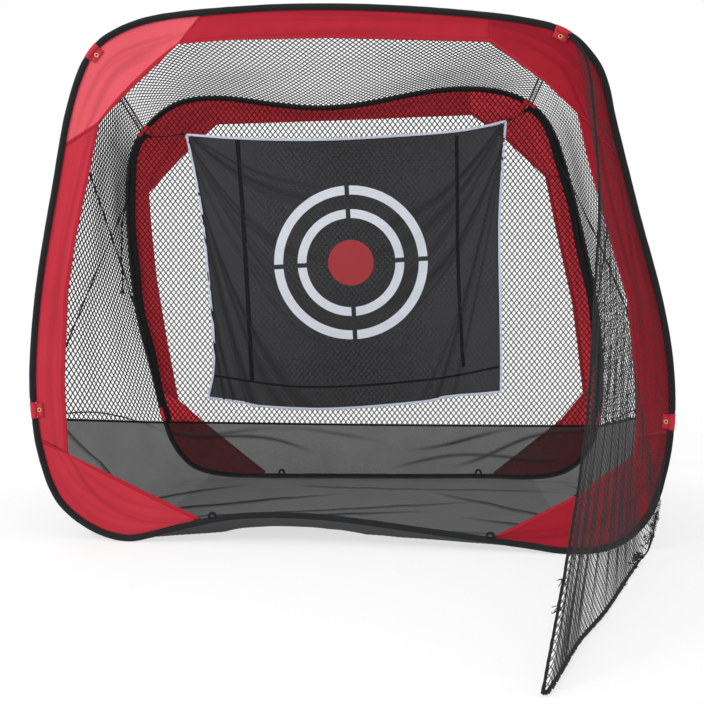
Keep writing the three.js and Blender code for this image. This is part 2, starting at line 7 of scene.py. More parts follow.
import bpy
import numpy as np
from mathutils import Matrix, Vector

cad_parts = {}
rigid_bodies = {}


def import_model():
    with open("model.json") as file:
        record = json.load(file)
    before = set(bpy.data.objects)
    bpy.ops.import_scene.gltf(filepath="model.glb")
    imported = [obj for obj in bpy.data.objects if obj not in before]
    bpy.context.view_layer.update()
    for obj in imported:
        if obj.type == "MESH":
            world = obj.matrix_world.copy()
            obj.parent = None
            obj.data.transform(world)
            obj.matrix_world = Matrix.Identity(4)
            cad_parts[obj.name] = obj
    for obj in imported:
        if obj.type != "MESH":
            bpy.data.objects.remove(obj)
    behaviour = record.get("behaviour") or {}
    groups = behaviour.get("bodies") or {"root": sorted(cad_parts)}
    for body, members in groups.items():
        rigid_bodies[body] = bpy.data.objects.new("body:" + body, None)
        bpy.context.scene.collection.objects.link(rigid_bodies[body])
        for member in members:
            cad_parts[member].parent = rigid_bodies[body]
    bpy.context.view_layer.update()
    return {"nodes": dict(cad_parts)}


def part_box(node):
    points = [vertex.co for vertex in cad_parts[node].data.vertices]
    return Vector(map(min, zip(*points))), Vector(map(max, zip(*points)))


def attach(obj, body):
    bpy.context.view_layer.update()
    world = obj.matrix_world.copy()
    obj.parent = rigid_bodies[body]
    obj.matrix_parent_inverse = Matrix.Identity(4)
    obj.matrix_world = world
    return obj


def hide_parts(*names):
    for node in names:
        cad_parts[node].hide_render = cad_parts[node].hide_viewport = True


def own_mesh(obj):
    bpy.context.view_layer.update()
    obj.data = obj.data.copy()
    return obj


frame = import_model()

# ---------------------------------------------------------------- driving sizes, in metres

SLEEVE_RADIUS = 0.009
PANEL_EDGE_OFFSET = 0.012          # hoop centre line to the border's outer edge
FABRIC_THICKNESS = 0.0012
BACK_MESH = (0.0240, 0.0303)       # one diamond of the back net, across and down
SPAN_MESH = {                      # one diamond of the other nets, along the hoops and from front to rear
    "roof_net": (0.0237, 0.0475),
    "right_net": (0.0300, 0.0430),
    "left_net": (0.0320, 0.0430),
}
NET_CORD_RADIUS = {"back_net": 0.0027, "roof_net": 0.0023, "right_net": 0.0019, "left_net": 0.0027}
KNOT_SHARE = 1.4                   # a knot's radius as a share of its cords'
HOOP_STEPS = 2400                  # equal steps of a hoop's centre line
MIDDLE_HEIGHT = 0.95               # the height that the inner sides of the nets and tapes face
NET_SETBACK = 0.016                # hoop plane to the edge of the nets between the hoops
FORWARD = np.array([0.0, -1.0, 0.0])
CORNERS = ("upper_left", "upper_right", "lower_right", "lower_left")
HOOPS = {"front": "front_frame", "rear": "rear_frame"}

FRONT_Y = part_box("front_top_sleeve")[0].y + SLEEVE_RADIUS
REAR_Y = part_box("rear_top_sleeve")[0].y + SLEEVE_RADIUS
HELD_Y = FRONT_Y + NET_SETBACK     # where everything between the hoops is held at the front

# ---------------------------------------------------------------- camera, light and floor

CAMERA_PLACE = (0.18, -5.625, 1.19)
CAMERA_YAW = 2.05                  # degrees, to the left of +Y
CAMERA_PITCH = -5.37
CAMERA_LENS = 68.8
KEY_LIGHT = ((-4.2, -4.0, 4.2), (0, 0, 0.9), 1.2, 110)             # place, aim, size and power
REAR_BORDER_LIGHT = ((-2.2, -5.0, 1.6), (0.9, 0.6, 1.0), 1.5, 165)
FLOOR_SIZE = 60
FLOOR_DROP = 0.0005                # keeps the floor clear of the ground sheet
FLOOR_GREY = 0.30
FLOOR_GLOW = 0.655


def make_camera():
    data = bpy.data.cameras.new("camera")
    data.lens = CAMERA_LENS
    data.sensor_width = 36.0
    camera = bpy.data.objects.new("camera", data)
    camera.location = CAMERA_PLACE
    camera.rotation_euler = (math.radians(90 + CAMERA_PITCH), 0, math.radians(CAMERA_YAW))
    bpy.context.scene.collection.objects.link(camera)
    bpy.context.scene.camera = camera


def area_light(name, place, target, size, power):
    data = bpy.data.lights.new(name, "AREA")
    data.shape = "DISK"
    data.size = size
    data.energy = power
    light = bpy.data.objects.new(name, data)
    light.location = place
    direction = Vector(target) - Vector(place)
    light.rotation_euler = direction.to_track_quat("-Z", "Y").to_euler()
    bpy.context.scene.collection.objects.link(light)
    return light


def make_studio():
    scene = bpy.context.scene
    scene.view_settings.view_transform = "Standard"
    world = bpy.data.worlds.new("studio")
    scene.world = world
    world.use_nodes = True
    background = world.node_tree.nodes["Background"]
    background.inputs["Color"].default_value = (1, 1, 1, 1)
    background.inputs["Strength"].default_value = 1.0
    area_light("key", *KEY_LIGHT)
    bpy.ops.mesh.primitive_plane_add(size=FLOOR_SIZE, location=(0, 0, -FLOOR_DROP))
    floor = bpy.context.object
    floor.name = "studio_floor"
    mat = bpy.data.materials.new("studio_floor")
    mat.use_nodes = True
    shader = mat.node_tree.nodes["Principled BSDF"]
    shader.inputs["Base Color"].default_value = (FLOOR_GREY, FLOOR_GREY, FLOOR_GREY, 1)
    shader.inputs["Roughness"].default_value = 0.9
    shader.inputs["Emission Color"].default_value = (1, 1, 1, 1)
    shader.inputs["Emission Strength"].default_value = FLOOR_GLOW
    floor.data.materials.append(mat)


make_camera()
make_studio()

# ---------------------------------------------------------------- materials


SHADER_SOCKETS = {
    "colour": "Base Color", "roughness": "Roughness", "normal": "Normal", "alpha": "Alpha",
    "metallic": "Metallic", "specular": "Specular IOR Level", "sheen": "Sheen Weight",
    "sheen_roughness": "Sheen Roughness",
}


class Nodes:
    """A short way to build a material's node tree."""

    def __init__(self, name):
        self.material = bpy.data.materials.new(name)
        self.material.use_nodes = True
        self.tree = self.material.node_tree
        self.shader = self.tree.nodes["Principled BSDF"]

    def add(self, kind, **settings):
        node = self.tree.nodes.new(kind)
        for key, value in settings.items():
            if key in node.inputs:
                node.inputs[key].default_value = value
            else:
                setattr(node, key, value)
        return node

    def put(self, value, socket):
        """Sets a socket to a number or a colour, or links another node's output to it."""
        if isinstance(value, (int, float)):
            socket.default_value = value
        elif isinstance(value, tuple):
            socket.default_value = (*value, 1)
        else:
            self.tree.links.new(value, socket)

    def finish(self, **sockets):
        """Sets or links each of the shader's sockets, and hands the material over."""
        for key, value in sockets.items():
            self.put(value, self.shader.inputs[SHADER_SOCKETS[key]])
        return self.material

    def math(self, operation, *values, clamp=False):
        node = self.add("ShaderNodeMath", operation=operation, use_clamp=clamp)
        for socket, value in zip(node.inputs, values):
            self.put(value, socket)
        return node.outputs[0]

    def mix(self, share, a, b):
        node = self.add("ShaderNodeMix", data_type="RGBA")
        for index, value in ((0, share), (6, a), (7, b)):
            self.put(value, node.inputs[index])
        return node.outputs[2]

    def noise(self, vector, scale, detail=3.0, roughness=0.5):
        node = self.add("ShaderNodeTexNoise", Scale=scale, Detail=detail, Roughness=roughness)
        self.put(vector, node.inputs["Vector"])
        return node.outputs["Fac"]

    def bands(self, vector, scale, direction):
        node = self.add("ShaderNodeTexWave", Scale=scale, bands_direction=direction, wave_profile="SIN")
        self.put(vector, node.inputs["Vector"])
        return node.outputs["Fac"]

    def coords(self, kind="Object"):
        return self.add("ShaderNodeTexCoord").outputs[kind]

    def fold(self):
        """How deep in a fold the cloth is, as stamped on the mesh."""
        return self.add("ShaderNodeAttribute", attribute_name="fold").outputs["Fac"]

    def bump(self, height, strength, distance, below=None):
        node = self.add("ShaderNodeBump", Strength=strength, Distance=distance)
        self.put(height, node.inputs["Height"])
        if below is not None:
            self.put(below, node.inputs["Normal"])
        return node.outputs["Normal"]


def scaled(colour, factor, lift=0.0):
    return tuple(min(1.0, c * factor + lift) for c in colour)


def woven(name, dark, light, roughness=0.75, sheen=0.04, weave=900.0, crease=0.5):
    """Cloth: a two-way weave, soft creases and uneven colour, with painted shade in the folds stamped on the
    mesh.
    """
    n = Nodes(name)
    place = n.coords()
    cloud = n.noise(place, 3.0, 4.0)
    fine = n.noise(place, 160.0, 2.0)
    tone = n.math("MULTIPLY", n.math("ADD", cloud, n.math("MULTIPLY", fine, 0.35)), 0.74, clamp=True)
    threads = n.math("ADD", n.bands(place, weave, "X"), n.bands(place, weave, "Z"))
    creases = n.noise(place, 14.0, 5.0, 0.55)
    # the stamped folds darken the colour towards 0.45 of its darkest: painted shade
    return n.finish(
        colour=n.mix(n.fold(), n.mix(tone, dark, light), scaled(dark, 0.45)),
        normal=n.bump(creases, crease, 0.004, n.bump(threads, 0.25, 0.0004)),
        roughness=n.math("MULTIPLY_ADD", fine, 0.2, roughness - 0.1),
        sheen=sheen, sheen_roughness=0.4, specular=0.15,
    )


def cord_material(name, colour, twist=420.0):
    """Twisted cord, with lighter specks."""
    n = Nodes(name)
    place = n.coords()
    speck = n.math("MULTIPLY", n.noise(place, 300.0, 2.0), 0.8)
    return n.finish(
        colour=n.mix(speck, colour, scaled(colour, 2.2, 0.012)),
        normal=n.bump(n.bands(place, twist, "DIAGONAL"), 0.4, 0.0006),
        roughness=0.85, specular=0.25,
    )


def fine_mesh_material(name, colour, cover, fold_cover):
    """Fine black mesh: its threads cover part of the surface and the rest is open."""
    n = Nodes(name)
    place = n.coords()
    cloud = n.noise(place, 5.0, 4.0, 0.6)
    threads = n.math("ADD", n.math("MULTIPLY_ADD", cloud, 0.06, cover - 0.06),
                     n.math("MULTIPLY", n.noise(place, 240.0, 2.0), 0.06))
    return n.finish(
        colour=n.mix(cloud, colour, scaled(colour, 1.9, 0.01)),
        alpha=n.math("ADD", threads, n.math("MULTIPLY", n.fold(), fold_cover), clamp=True),
        normal=n.bump(n.noise(place, 30.0, 4.0), 0.4, 0.003),
        roughness=0.8, specular=0.3, sheen=0.1,
    )


def metal(name, colour, roughness):
    """Metal with fine scratches."""
    n = Nodes(name)
    scratch = n.noise(n.coords(), 400.0, 3.0)
    return n.finish(
        colour=n.mix(scratch, scaled(colour, 0.75), colour),
        normal=n.bump(scratch, 0.2, 0.0003),
        roughness=n.math("MULTIPLY_ADD", scratch, 0.2, roughness),
        metallic=1.0,
    )


RING_CENTRE = (-0.045, 1.021)       # x and z, in the target's plane
RINGS = ((0.309, 0.350), (0.203, 0.243))
DISC_RADIUS = 0.104
RING_GAP = 0.021
RING_TURN = math.radians(3.3)
PRINT_GREY = (0.82, 0.87, 0.96)
PRINT_RED = (0.42, 0.04, 0.05)
CLOTH_MIDDLE = ((0.013, 0.013, 0.0145), (0.036, 0.036, 0.040))      # darkest and lightest
CLOTH_SIDES = ((0.030, 0.030, 0.033), (0.064, 0.064, 0.070))
# painted shade: the colour that the target's folds are darkened to
CLOTH_FOLD_SHADE = (0.0035, 0.0035, 0.004)


def target_material():
    """Black cloth printed with two broken rings and a disc. The UV map is the flat cloth in metres."""
    n = Nodes("target_cloth")
    flat = n.coords("UV")
    split = n.add("ShaderNodeSeparateXYZ")
    n.put(flat, split.inputs[0])
    x = n.math("SUBTRACT", split.outputs[0], RING_CENTRE[0])
    y = n.math("SUBTRACT", split.outputs[1], RING_CENTRE[1])
    c, s = math.cos(RING_TURN), math.sin(RING_TURN)
    turned_x = n.math("ADD", n.math("MULTIPLY", x, c), n.math("MULTIPLY", y, s))
    turned_y = n.math("SUBTRACT", n.math("MULTIPLY", y, c), n.math("MULTIPLY", x, s))
    radius = n.math("SQRT", n.math("ADD", n.math("POWER", x, 2.0), n.math("POWER", y, 2.0)))
    gap = n.math("MINIMUM", n.math("ABSOLUTE", turned_x), n.math("ABSOLUTE", turned_y))
    outer_ring, inner_ring = (
        n.math("MULTIPLY", n.math("GREATER_THAN", radius, inside), n.math("LESS_THAN", radius, outside))
        for inside, outside in RINGS
    )
    unbroken = n.math("GREATER_THAN", gap, RING_GAP / 2)
    rings = n.math("MULTIPLY", n.math("ADD", outer_ring, inner_ring), unbroken)
    disc = n.math("LESS_THAN", radius, DISC_RADIUS)
    threads = n.noise(flat, 500.0, 2.0)
    tone = n.math("MULTIPLY", n.math("ADD", n.noise(flat, 4.0, 4.0), threads), 0.5)
    fold = n.fold()
    towards_sides = n.math("MULTIPLY", n.math("ABSOLUTE", x), 1.1, clamp=True)
    cloth = n.mix(towards_sides, n.mix(tone, *CLOTH_MIDDLE), n.mix(tone, *CLOTH_SIDES))
    grey = n.mix(threads, PRINT_GREY, scaled(PRINT_GREY, 1.05))
    red = n.mix(threads, PRINT_RED, scaled(PRINT_RED, 1.2))
    # in the folds the cloth is covered more, for its extra layers, and darkened with painted shade
    closed = n.math("ADD", n.math("MULTIPLY", fold, 0.14), n.math("ADD", rings, disc))
    weave = n.math("ADD", n.bands(flat, 700.0, "X"), n.bands(flat, 700.0, "Y"))
    return n.finish(
        colour=n.mix(disc, n.mix(rings, n.mix(fold, cloth, CLOTH_FOLD_SHADE), grey), red),
        alpha=n.math("ADD", closed, 0.86, clamp=True),
        normal=n.bump(n.noise(flat, 12.0, 4.0), 0.35, 0.004, n.bump(weave, 0.25, 0.0004)),
        roughness=0.78, specular=0.3, sheen=0.25,
    )


# painted light: the border reds are lit and shaded copies of one red, as rear_red_lit is of rear_red
MATERIALS = {
    "red_upper_left": woven("red_upper_left", (0.60, 0.072, 0.096), (0.78, 0.112, 0.140)),
    "red_left": woven("red_left", (0.42, 0.021, 0.037), (0.56, 0.034, 0.055)),
    "red_top": woven("red_top", (0.35, 0.011, 0.025), (0.47, 0.018, 0.038)),
    "red_right": woven("red_right", (0.28, 0.006, 0.017), (0.39, 0.012, 0.026)),
    "rear_red": woven("rear_red", (0.42, 0.010, 0.020), (0.56, 0.017, 0.031)),
    "rear_red_lit": woven("rear_red_lit", (0.66, 0.024, 0.040), (0.86, 0.040, 0.062)),
    "hem_red": woven("hem_red", (0.32, 0.010, 0.022), (0.45, 0.018, 0.036)),
    "sleeve_black": woven("sleeve_black", (0.009, 0.010, 0.011), (0.020, 0.021, 0.023), 0.8, 0.1),
    "webbing_black": woven("webbing_black", (0.008, 0.008, 0.009), (0.018, 0.018, 0.020), 0.8, 0.1),
    "net_black": cord_material("net_black", (0.020, 0.020, 0.021)),
    "cord_black": cord_material("cord_black", (0.008, 0.008, 0.009), 260.0),
    "grey_mesh": fine_mesh_material("grey_mesh", (0.012, 0.013, 0.013), 0.890, 0.10),
    "floor_mesh": fine_mesh_material("floor_mesh", (0.010, 0.010, 0.010), 0.915, 0.085),
    "target": target_material(),
    "piping": woven("piping", (0.64, 0.69, 0.86), (0.80, 0.85, 0.98), 0.7, 0.1, 1200.0, 0.2),
    "navy_stitch": woven("navy_stitch", (0.012, 0.014, 0.05), (0.03, 0.035, 0.10), 0.8, 0.1, 1200.0, 0.2),
    "brass": metal("brass", (0.72, 0.54, 0.24), 0.28),
    "steel": metal("steel", (0.62, 0.63, 0.65), 0.3),
}

# ---------------------------------------------------------------- geometry helpers


def unit(v):
    return v / np.maximum(np.linalg.norm(v, axis=-1, keepdims=True), 1e-12)


def lengths(points):
    steps = np.linalg.norm(np.diff(points, axis=0), axis=1)
    return np.concatenate([[0.0], np.cumsum(steps)])


def resample(points, count):
    s = lengths(points)
    wanted = np.linspace(0, s[-1], count)
    return np.stack([np.interp(wanted, s, points[:, k]) for k in range(points.shape[1])], axis=1)


def rows_at(table, k):
    """The rows of a table of points at fractional indices."""
    index = np.arange(len(table))
    return np.stack([np.interp(k, index, column) for column in table.T], axis=-1)


def smooth_line(points, count, closed=False):
    """A Catmull-Rom line through its points, in equal steps."""
    p = np.asarray(points, float)
    if closed:
        ext = np.vstack([p[-1], p, p[0], p[1]])
    else:
        ext = np.vstack([2 * p[0] - p[1], p, 2 * p[-1] - p[-2]])
    t = np.linspace(0, 1, 12, endpoint=False)[:, None]
    out = []
    for a, b, c, d in zip(ext[:-3], ext[1:-2], ext[2:-1], ext[3:]):
        out.append(0.5 * (2 * b + (c - a) * t + (2 * a - 5 * b + 4 * c - d) * t**2
                          + (3 * b - a - 3 * c + d) * t**3))
    out.append((p[:1] if closed else p[-1:]))
    return resample(np.vstack(out), count)


def waves(x, y, seed, wavelength, stretch=1.0, count=7):
    """Smooth uneven ripples from -1 to 1. A stretch above 1 draws them out along y."""
    rng = np.random.default_rng(seed)
    total = np.zeros(np.broadcast(x, y).shape)
    for _ in range(count):
        angle = rng.uniform(0, 2 * np.pi)
        k = 2 * np.pi / (wavelength * rng.uniform(0.7, 1.5))
        phase = rng.uniform(0, 2 * np.pi)
        total = total + np.sin(k * (x * np.cos(angle) + y * np.sin(angle) / stretch) + phase)
    return total / count * 1.6


def new_object(name, verts, faces, material, body, uv=None):
    """A mesh object from arrays, riding on a body. Faces is a list of equal-sided face arrays."""
    mesh = bpy.data.meshes.new(name)
    faces = faces if isinstance(faces, list) else [faces]
    loops = np.concatenate([f.reshape(-1) for f in faces]).astype(np.int32)
    totals = np.concatenate([np.full(len(f), f.shape[1]) for f in faces]).astype(np.int32)
    starts = np.concatenate([[0], np.cumsum(totals)[:-1]]).astype(np.int32)
    mesh.vertices.add(len(verts))
    mesh.vertices.foreach_set("co", np.asarray(verts, np.float32).reshape(-1))
    mesh.loops.add(len(loops))
    mesh.loops.foreach_set("vertex_index", loops)
    mesh.polygons.add(len(totals))
    mesh.polygons.foreach_set("loop_start", starts)
    if uv is not None:
        layer = mesh.uv_layers.new(name="flat")
        layer.data.foreach_set("uv", np.asarray(uv, np.float32)[loops].reshape(-1))
    mesh.update(calc_edges=True)
    mesh.validate()
    mesh.polygons.foreach_set("use_smooth", np.ones(len(mesh.polygons), bool))
    mesh.materials.append(MATERIALS[material])
    obj = bpy.data.objects.new(name, mesh)
    bpy.context.scene.collection.objects.link(obj)
    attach(obj, body)
    return obj


def grid_faces(rows, columns, wrap=False):
    r, c = np.meshgrid(np.arange(rows - 1), np.arange(columns if wrap else columns - 1), indexing="ij")
    a = r * columns + c
    b = r * columns + (c + 1) % columns
    return np.stack([a, b, b + columns, a + columns], axis=-1).reshape(-1, 4)


def sheet_object(name, grid, material, body, thickness=FABRIC_THICKNESS, uv=None):
    """A cloth from a grid of points, given its thickness by a modifier."""
    rows, columns = grid.shape[:2]
    flat_uv = None if uv is None else uv.reshape(-1, 2)
    obj = new_object(name, grid.reshape(-1, 3), grid_faces(rows, columns), material, body, uv=flat_uv)
    if thickness:
        solid = obj.modifiers.new("thickness", "SOLIDIFY")
        solid.thickness = thickness
        solid.offset = 0
    return obj


def sweep(path, profile, side=None, scale=None, capped=True):
    """Vertices and faces of a closed profile swept along a path. Side fixes the profile's first axis."""
    tangent = unit(np.gradient(path, axis=0))
    if side is None:
        start = np.array([0.0, 0.0, 1.0]) if abs(tangent[0][2]) < 0.9 else np.array([1.0, 0.0, 0.0])
        side = np.empty_like(path)
        for i, t in enumerate(tangent):
            start = start - t * (start @ t)
            start = start / np.linalg.norm(start)
            side[i] = start
    side = unit(side - tangent * (side * tangent).sum(1, keepdims=True))
    other = np.cross(tangent, side)
    scale = np.ones(len(path)) if scale is None else scale
    ring = profile[None] * scale[:, None, None]
    verts = path[:, None] + side[:, None] * ring[..., :1] + other[:, None] * ring[..., 1:]
    n, m = len(path), len(profile)
    faces = [grid_faces(n, m, wrap=True)]
    if capped:
        faces.append(np.arange(m)[::-1][None])
        faces.append((np.arange(m) + (n - 1) * m)[None])
    return verts.reshape(-1, 3), faces


def join_parts(parts):
    """One set of vertices and faces from several."""
    verts, faces, offset = [], [], 0
    for v, fs in parts:
        verts.append(v)
        faces += [f + offset for f in (fs if isinstance(fs, list) else [fs])]
        offset += len(v)
    return np.vstack(verts), faces


def circle(radius, sides):
    a = np.linspace(0, 2 * np.pi, sides, endpoint=False)
    return np.stack([radius * np.cos(a), radius * np.sin(a)], axis=1)


def rounded_strip(width, thickness, rounds=4):
    """The cross-section of webbing or tape."""
    r = thickness / 2
    a = np.linspace(-np.pi / 2, np.pi / 2, rounds)
    right = np.stack([width / 2 - r + r * np.cos(a), r * np.sin(a)], axis=1)
    return np.vstack([right, -right])


def stamp(obj, name, values):
    """Keeps one value a vertex for the material to read."""
    attribute = obj.data.attributes.new(name, "FLOAT", "POINT")
    attribute.data.foreach_set("value", np.asarray(values, np.float32).reshape(-1))


def node_points(node):
    return np.array([v.co for v in frame["nodes"][node].data.vertices], float)


def flatten_with_collapse(obj):
    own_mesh(obj)


class Hoop:
    """A hoop's centre line, read from its rod, clockwise as seen from the front."""

    def __init__(self, rod):
        points = node_points(rod)
        middle = (points.min(0) + points.max(0)) / 2
        angle = np.arctan2(points[:, 2] - middle[2], points[:, 0] - middle[0])
        points = points[np.argsort(-angle)]
        breaks = np.where(np.linalg.norm(np.diff(points, axis=0), axis=1) > 0.02)[0] + 1
        groups = np.split(points, breaks)
        if np.linalg.norm(groups[0][0] - groups[-1][-1]) < 0.02:
            groups[0] = np.vstack([groups[0], groups.pop()])
        centres = np.array([g.mean(0) for g in groups])
        self.line = smooth_line(centres, HOOP_STEPS + 1, closed=True)
        self.length = lengths(self.line)[-1]

    def at(self, s):
        """The point at a share of the way round, which may pass 1."""
        return rows_at(self.line, (np.asarray(s) % 1.0) * HOOP_STEPS)

    def nearest(self, point):
        """The share of the way round that is nearest to a point, and how far off it is."""
        gap = np.linalg.norm(self.line[:-1][:, [0, 2]] - np.asarray(point)[[0, 2]], axis=1)
        return int(gap.argmin()) / HOOP_STEPS, float(gap.min())

    def inwards(self, s):
        ahead = self.at(np.asarray(s) + 1e-3) - self.at(np.asarray(s) - 1e-3)
        normal = np.stack([ahead[..., 2], np.zeros_like(ahead[..., 0]), -ahead[..., 0]], axis=-1)
        return unit(normal)

    def arc(self, a, b, count, inset=0.0):
        """Points from a to b, clockwise, moved inwards by inset."""
        s = np.linspace(a, a + (b - a) % 1.0, count)
        return self.at(s) + self.inwards(s) * inset


hoops = {"front": Hoop("front_hoop_rod"), "rear": Hoop("rear_hoop_rod")}


TAB_AT = {
    (side, corner): hoops[side].nearest(node_points(f"{side}_{corner}_tab").mean(0))[0]
    for side in HOOPS for corner in CORNERS
}

# ---------------------------------------------------------------- sleeves, tabs and eyelets

TAB_HALF = 0.029                   # half of a tab's length along the hoop
TAB_RADIUS = 0.0104
FLAP_REACH = 0.036
FLAP_THICKNESS = 0.003
EYELET_OFFSET = 0.023
EYELET_HOLE = 0.0042
EYELET_SIDES = 40
SEAM_RIDGE = 0.0140                # how far the sleeve's sewn ridge stands from the rod's middle


def make_sleeves(side):
    """Four padded sleeves, with a sewn seam ridge on the inside of the hoop."""
    hoop = hoops[side]
    half = TAB_HALF / hoop.length
    for i, name in enumerate(("top", "right", "bottom", "left")):
        a = TAB_AT[side, CORNERS[i]] + half
        b = TAB_AT[side, CORNERS[(i + 1) % 4]] - half
        span = (b - a) % 1.0
        count = int(span * hoop.length / 0.010)
        s = a + np.linspace(0, span, count)
        path = hoop.at(s)
        ridge = np.array([[SEAM_RIDGE, -0.0008], [SEAM_RIDGE, 0.0008]])
        profile = np.vstack([circle(SLEEVE_RADIUS + 0.0012, 18)[1:], ridge])
        puckers = 1 + 0.035 * waves(s * hoop.length, np.zeros(count), 11 + i, 0.09)
        puckers[:2] = puckers[-2:] = 0.93
        verts, faces = sweep(path, profile, side=hoop.inwards(s), scale=puckers)
        obj = new_object(f"{side}_{name}_sleeve_cover", verts, faces, "sleeve_black", HOOPS[side])
        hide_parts(f"{side}_{name}_sleeve")


def closed_rings(rows, sides):
    """The faces of a solid ring: rows of equal loops, with the last joined to the first."""
    n = np.arange(sides)
    last, following = n + (rows - 1) * sides, (n + 1) % sides
    close = np.stack([last, following + (rows - 1) * sides, following, n], axis=1)
    return [grid_faces(rows, sides, wrap=True), close]


def ring_plate(outline, hole, thickness):
    """A plate with a round hole: outline and hole have as many points as each other."""
    n = len(outline)
    loops = []
    for z in (thickness / 2, -thickness / 2):
        for line in (outline, hole):
            loops.append(np.column_stack([line, np.full(n, z)]))
    verts = np.vstack([loops[0], loops[1], loops[3], loops[2]])
    return verts, closed_rings(4, n)


def eyelet_part():
    """A rolled brass eyelet through a flap, with its axis along the plate's normal."""
    a = np.linspace(0, 2 * np.pi, EYELET_SIDES, endpoint=False)
    profile = np.array([
        [EYELET_HOLE, -0.0022], [0.0060, -0.0030], [0.0080, -0.0024], [0.0084, -0.0016],
        [0.0060, -0.0015], [0.0052, 0.0], [0.0060, 0.0015], [0.0084, 0.0016],
        [0.0080, 0.0024], [0.0060, 0.0030], [EYELET_HOLE, 0.0022], [EYELET_HOLE - 0.0004, 0.0],
    ])
    verts = np.stack([
        profile[:, None, 0] * np.cos(a), profile[:, None, 0] * np.sin(a),
        np.repeat(profile[:, 1:], EYELET_SIDES, axis=1),
    ], axis=-1).reshape(-1, 3)
    return verts, closed_rings(len(profile), EYELET_SIDES)


def make_tab(side, corner):
    """A red wrap round the rod, gathered at its ends, with a flap and a brass eyelet."""
    hoop = hoops[side]
    s = TAB_AT[side, corner]
    middle = hoop.at(s)
    inwards = hoop.inwards(s)
    along = unit(hoop.at(s + 1e-3) - hoop.at(s - 1e-3))
    across = np.cross(along, inwards)

    def placed(local):
        """From (inwards, along, across) to the part's frame."""
        return middle + local[:, :1] * inwards + local[:, 1:2] * along + local[:, 2:] * across

    steps = np.linspace(-TAB_HALF - 0.002, TAB_HALF + 0.002, 15)
    share = steps / TAB_HALF
    path = hoop.at(s + steps / hoop.length)
    bulge = 1.06 - 0.05 * share**2 + 0.02 * np.cos(7 * share)
    wrap = sweep(path, circle(TAB_RADIUS, 24), side=np.repeat(inwards[None], 15, 0), scale=bulge)
    angle = np.linspace(0, 2 * np.pi, 32, endpoint=False)
    square = np.maximum(np.abs(np.cos(angle)), np.abs(np.sin(angle)))
    outline = np.stack([
        EYELET_OFFSET + np.cos(angle) / square * (FLAP_REACH - EYELET_OFFSET),
        np.sin(angle) / square * TAB_HALF * 0.92,
    ], axis=1)
    hole = circle(EYELET_HOLE + 0.001, 32) + [EYELET_OFFSET, 0]
    plate_verts, plate_faces = ring_plate(outline, hole, FLAP_THICKNESS)
    verts, faces = join_parts([wrap, (placed(plate_verts), plate_faces)])
    red = "red_left" if side == "front" else "rear_red"
    tab = new_object(f"{side}_{corner}_wrap", verts, faces, red, HOOPS[side])
    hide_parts(f"{side}_{corner}_tab")
    verts, faces = eyelet_part()
    verts[:, 0] += EYELET_OFFSET
    ring = new_object(f"{side}_{corner}_brass_eyelet", placed(verts), faces, "brass", HOOPS[side])
    if side == "front":
        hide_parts(f"front_{corner}_eyelet")


# ---------------------------------------------------------------- red borders

PANELS = (
    "top_band", "upper_right_corner", "right_band", "lower_right_corner",
    "lower_left_corner", "left_band", "upper_left_corner",
)
HEM_WIDTH = 0.016
PANEL_ROWS = 33
PANEL_STEP = 0.012                 # between columns of a panel's grid
PANEL_SET_FORWARD = 0.00575        # of its cloth from the hoop's middle
FOLD_DEPTH = 0.004
FOLD_SHADE = 0.42                  # how dark its folds are stamped, as painted shade
HEM_LIFT = 0.0012                  # of the hem's cloth from the panel's
SEAM_LIFT = 0.0013
SEAM_BACK = (-0.004, 0.010)        # from before to behind the line where two panels meet
PANEL_REDS = {       # painted light: each panel's red is lighter or darker as the light and sheen fall on it
    "front": {
        "top_band": "red_top", "upper_right_corner": "red_right", "right_band": "red_right",
        "lower_right_corner": "red_right", "lower_left_corner": "red_left", "left_band": "red_left",
        "upper_left_corner": "red_upper_left",
    },
    "rear": {
        "top_band": "rear_red", "upper_right_corner": "rear_red_lit", "right_band": "rear_red_lit",
        "lower_right_corner": "rear_red_lit", "lower_left_corner": "rear_red_lit", "left_band": "rear_red",
        "upper_left_corner": "rear_red",
    },
}


def border_edges(side, name):
    """Where a border panel starts and ends on its hoop, and its inner edge, read from its CAD solid."""
    hoop = hoops[side]
    points = node_points(f"{side}_{name}")
    points = points[np.unique(np.round(points[:, [0, 2]], 4), axis=0, return_index=True)[1]]
    near = [hoop.nearest(p) for p in points]
    start_at = hoop.nearest(points.mean(0))[0] - 0.5
    share = np.array([(s - start_at) % 1.0 for s, _ in near])
    outer = np.array([gap < PANEL_EDGE_OFFSET + 0.004 for _, gap in near])
    a, b = share[outer].min() + start_at, share[outer].max() + start_at
    inner = points[~outer][np.argsort(share[~outer])]
    return a, b, inner


def shared_edges(side):
    """The edges of every panel, with neighbours meeting on one seam."""
    edges = {name: list(border_edges(side, name)) for name in PANELS}
    for name, following in zip(PANELS, (*PANELS[1:], PANELS[0])):
        if name == "lower_right_corner":
            continue
        here, there = edges[name], edges[following]
        meeting = here[1] + ((there[0] - here[1] + 0.5) % 1.0 - 0.5) / 2
        corner = (here[2][-1] + there[2][0]) / 2
        here[1] = there[0] = meeting
        here[2] = np.vstack([here[2][:-1], corner])
        there[2] = np.vstack([corner, there[2][1:]])
    return edges


def tension_folds(along, across, across_m, seed, count):
    """Shallow folds pulled from end to end of a panel, from 0 to 1. Across_m is the distance in metres."""
    rng = np.random.default_rng(seed)
    width = across_m[-1:]
    total = np.zeros(across_m.shape)
    for _ in range(count):
        start, end = rng.uniform(0.1, 0.9, 2)
        line = start + (end - start) * along + 0.05 * np.sin(along * rng.uniform(4, 9) + rng.uniform(0, 6))
        narrow = rng.uniform(0.006, 0.014)
        middle, reach = rng.uniform(0.15, 0.85), rng.uniform(0.25, 0.6)
        strength = rng.uniform(0.45, 1.0) * np.exp(-((along - middle) / reach) ** 4)
        total = np.maximum(total, strength * np.exp(-(((across - line) * width) / narrow) ** 2))
    return total


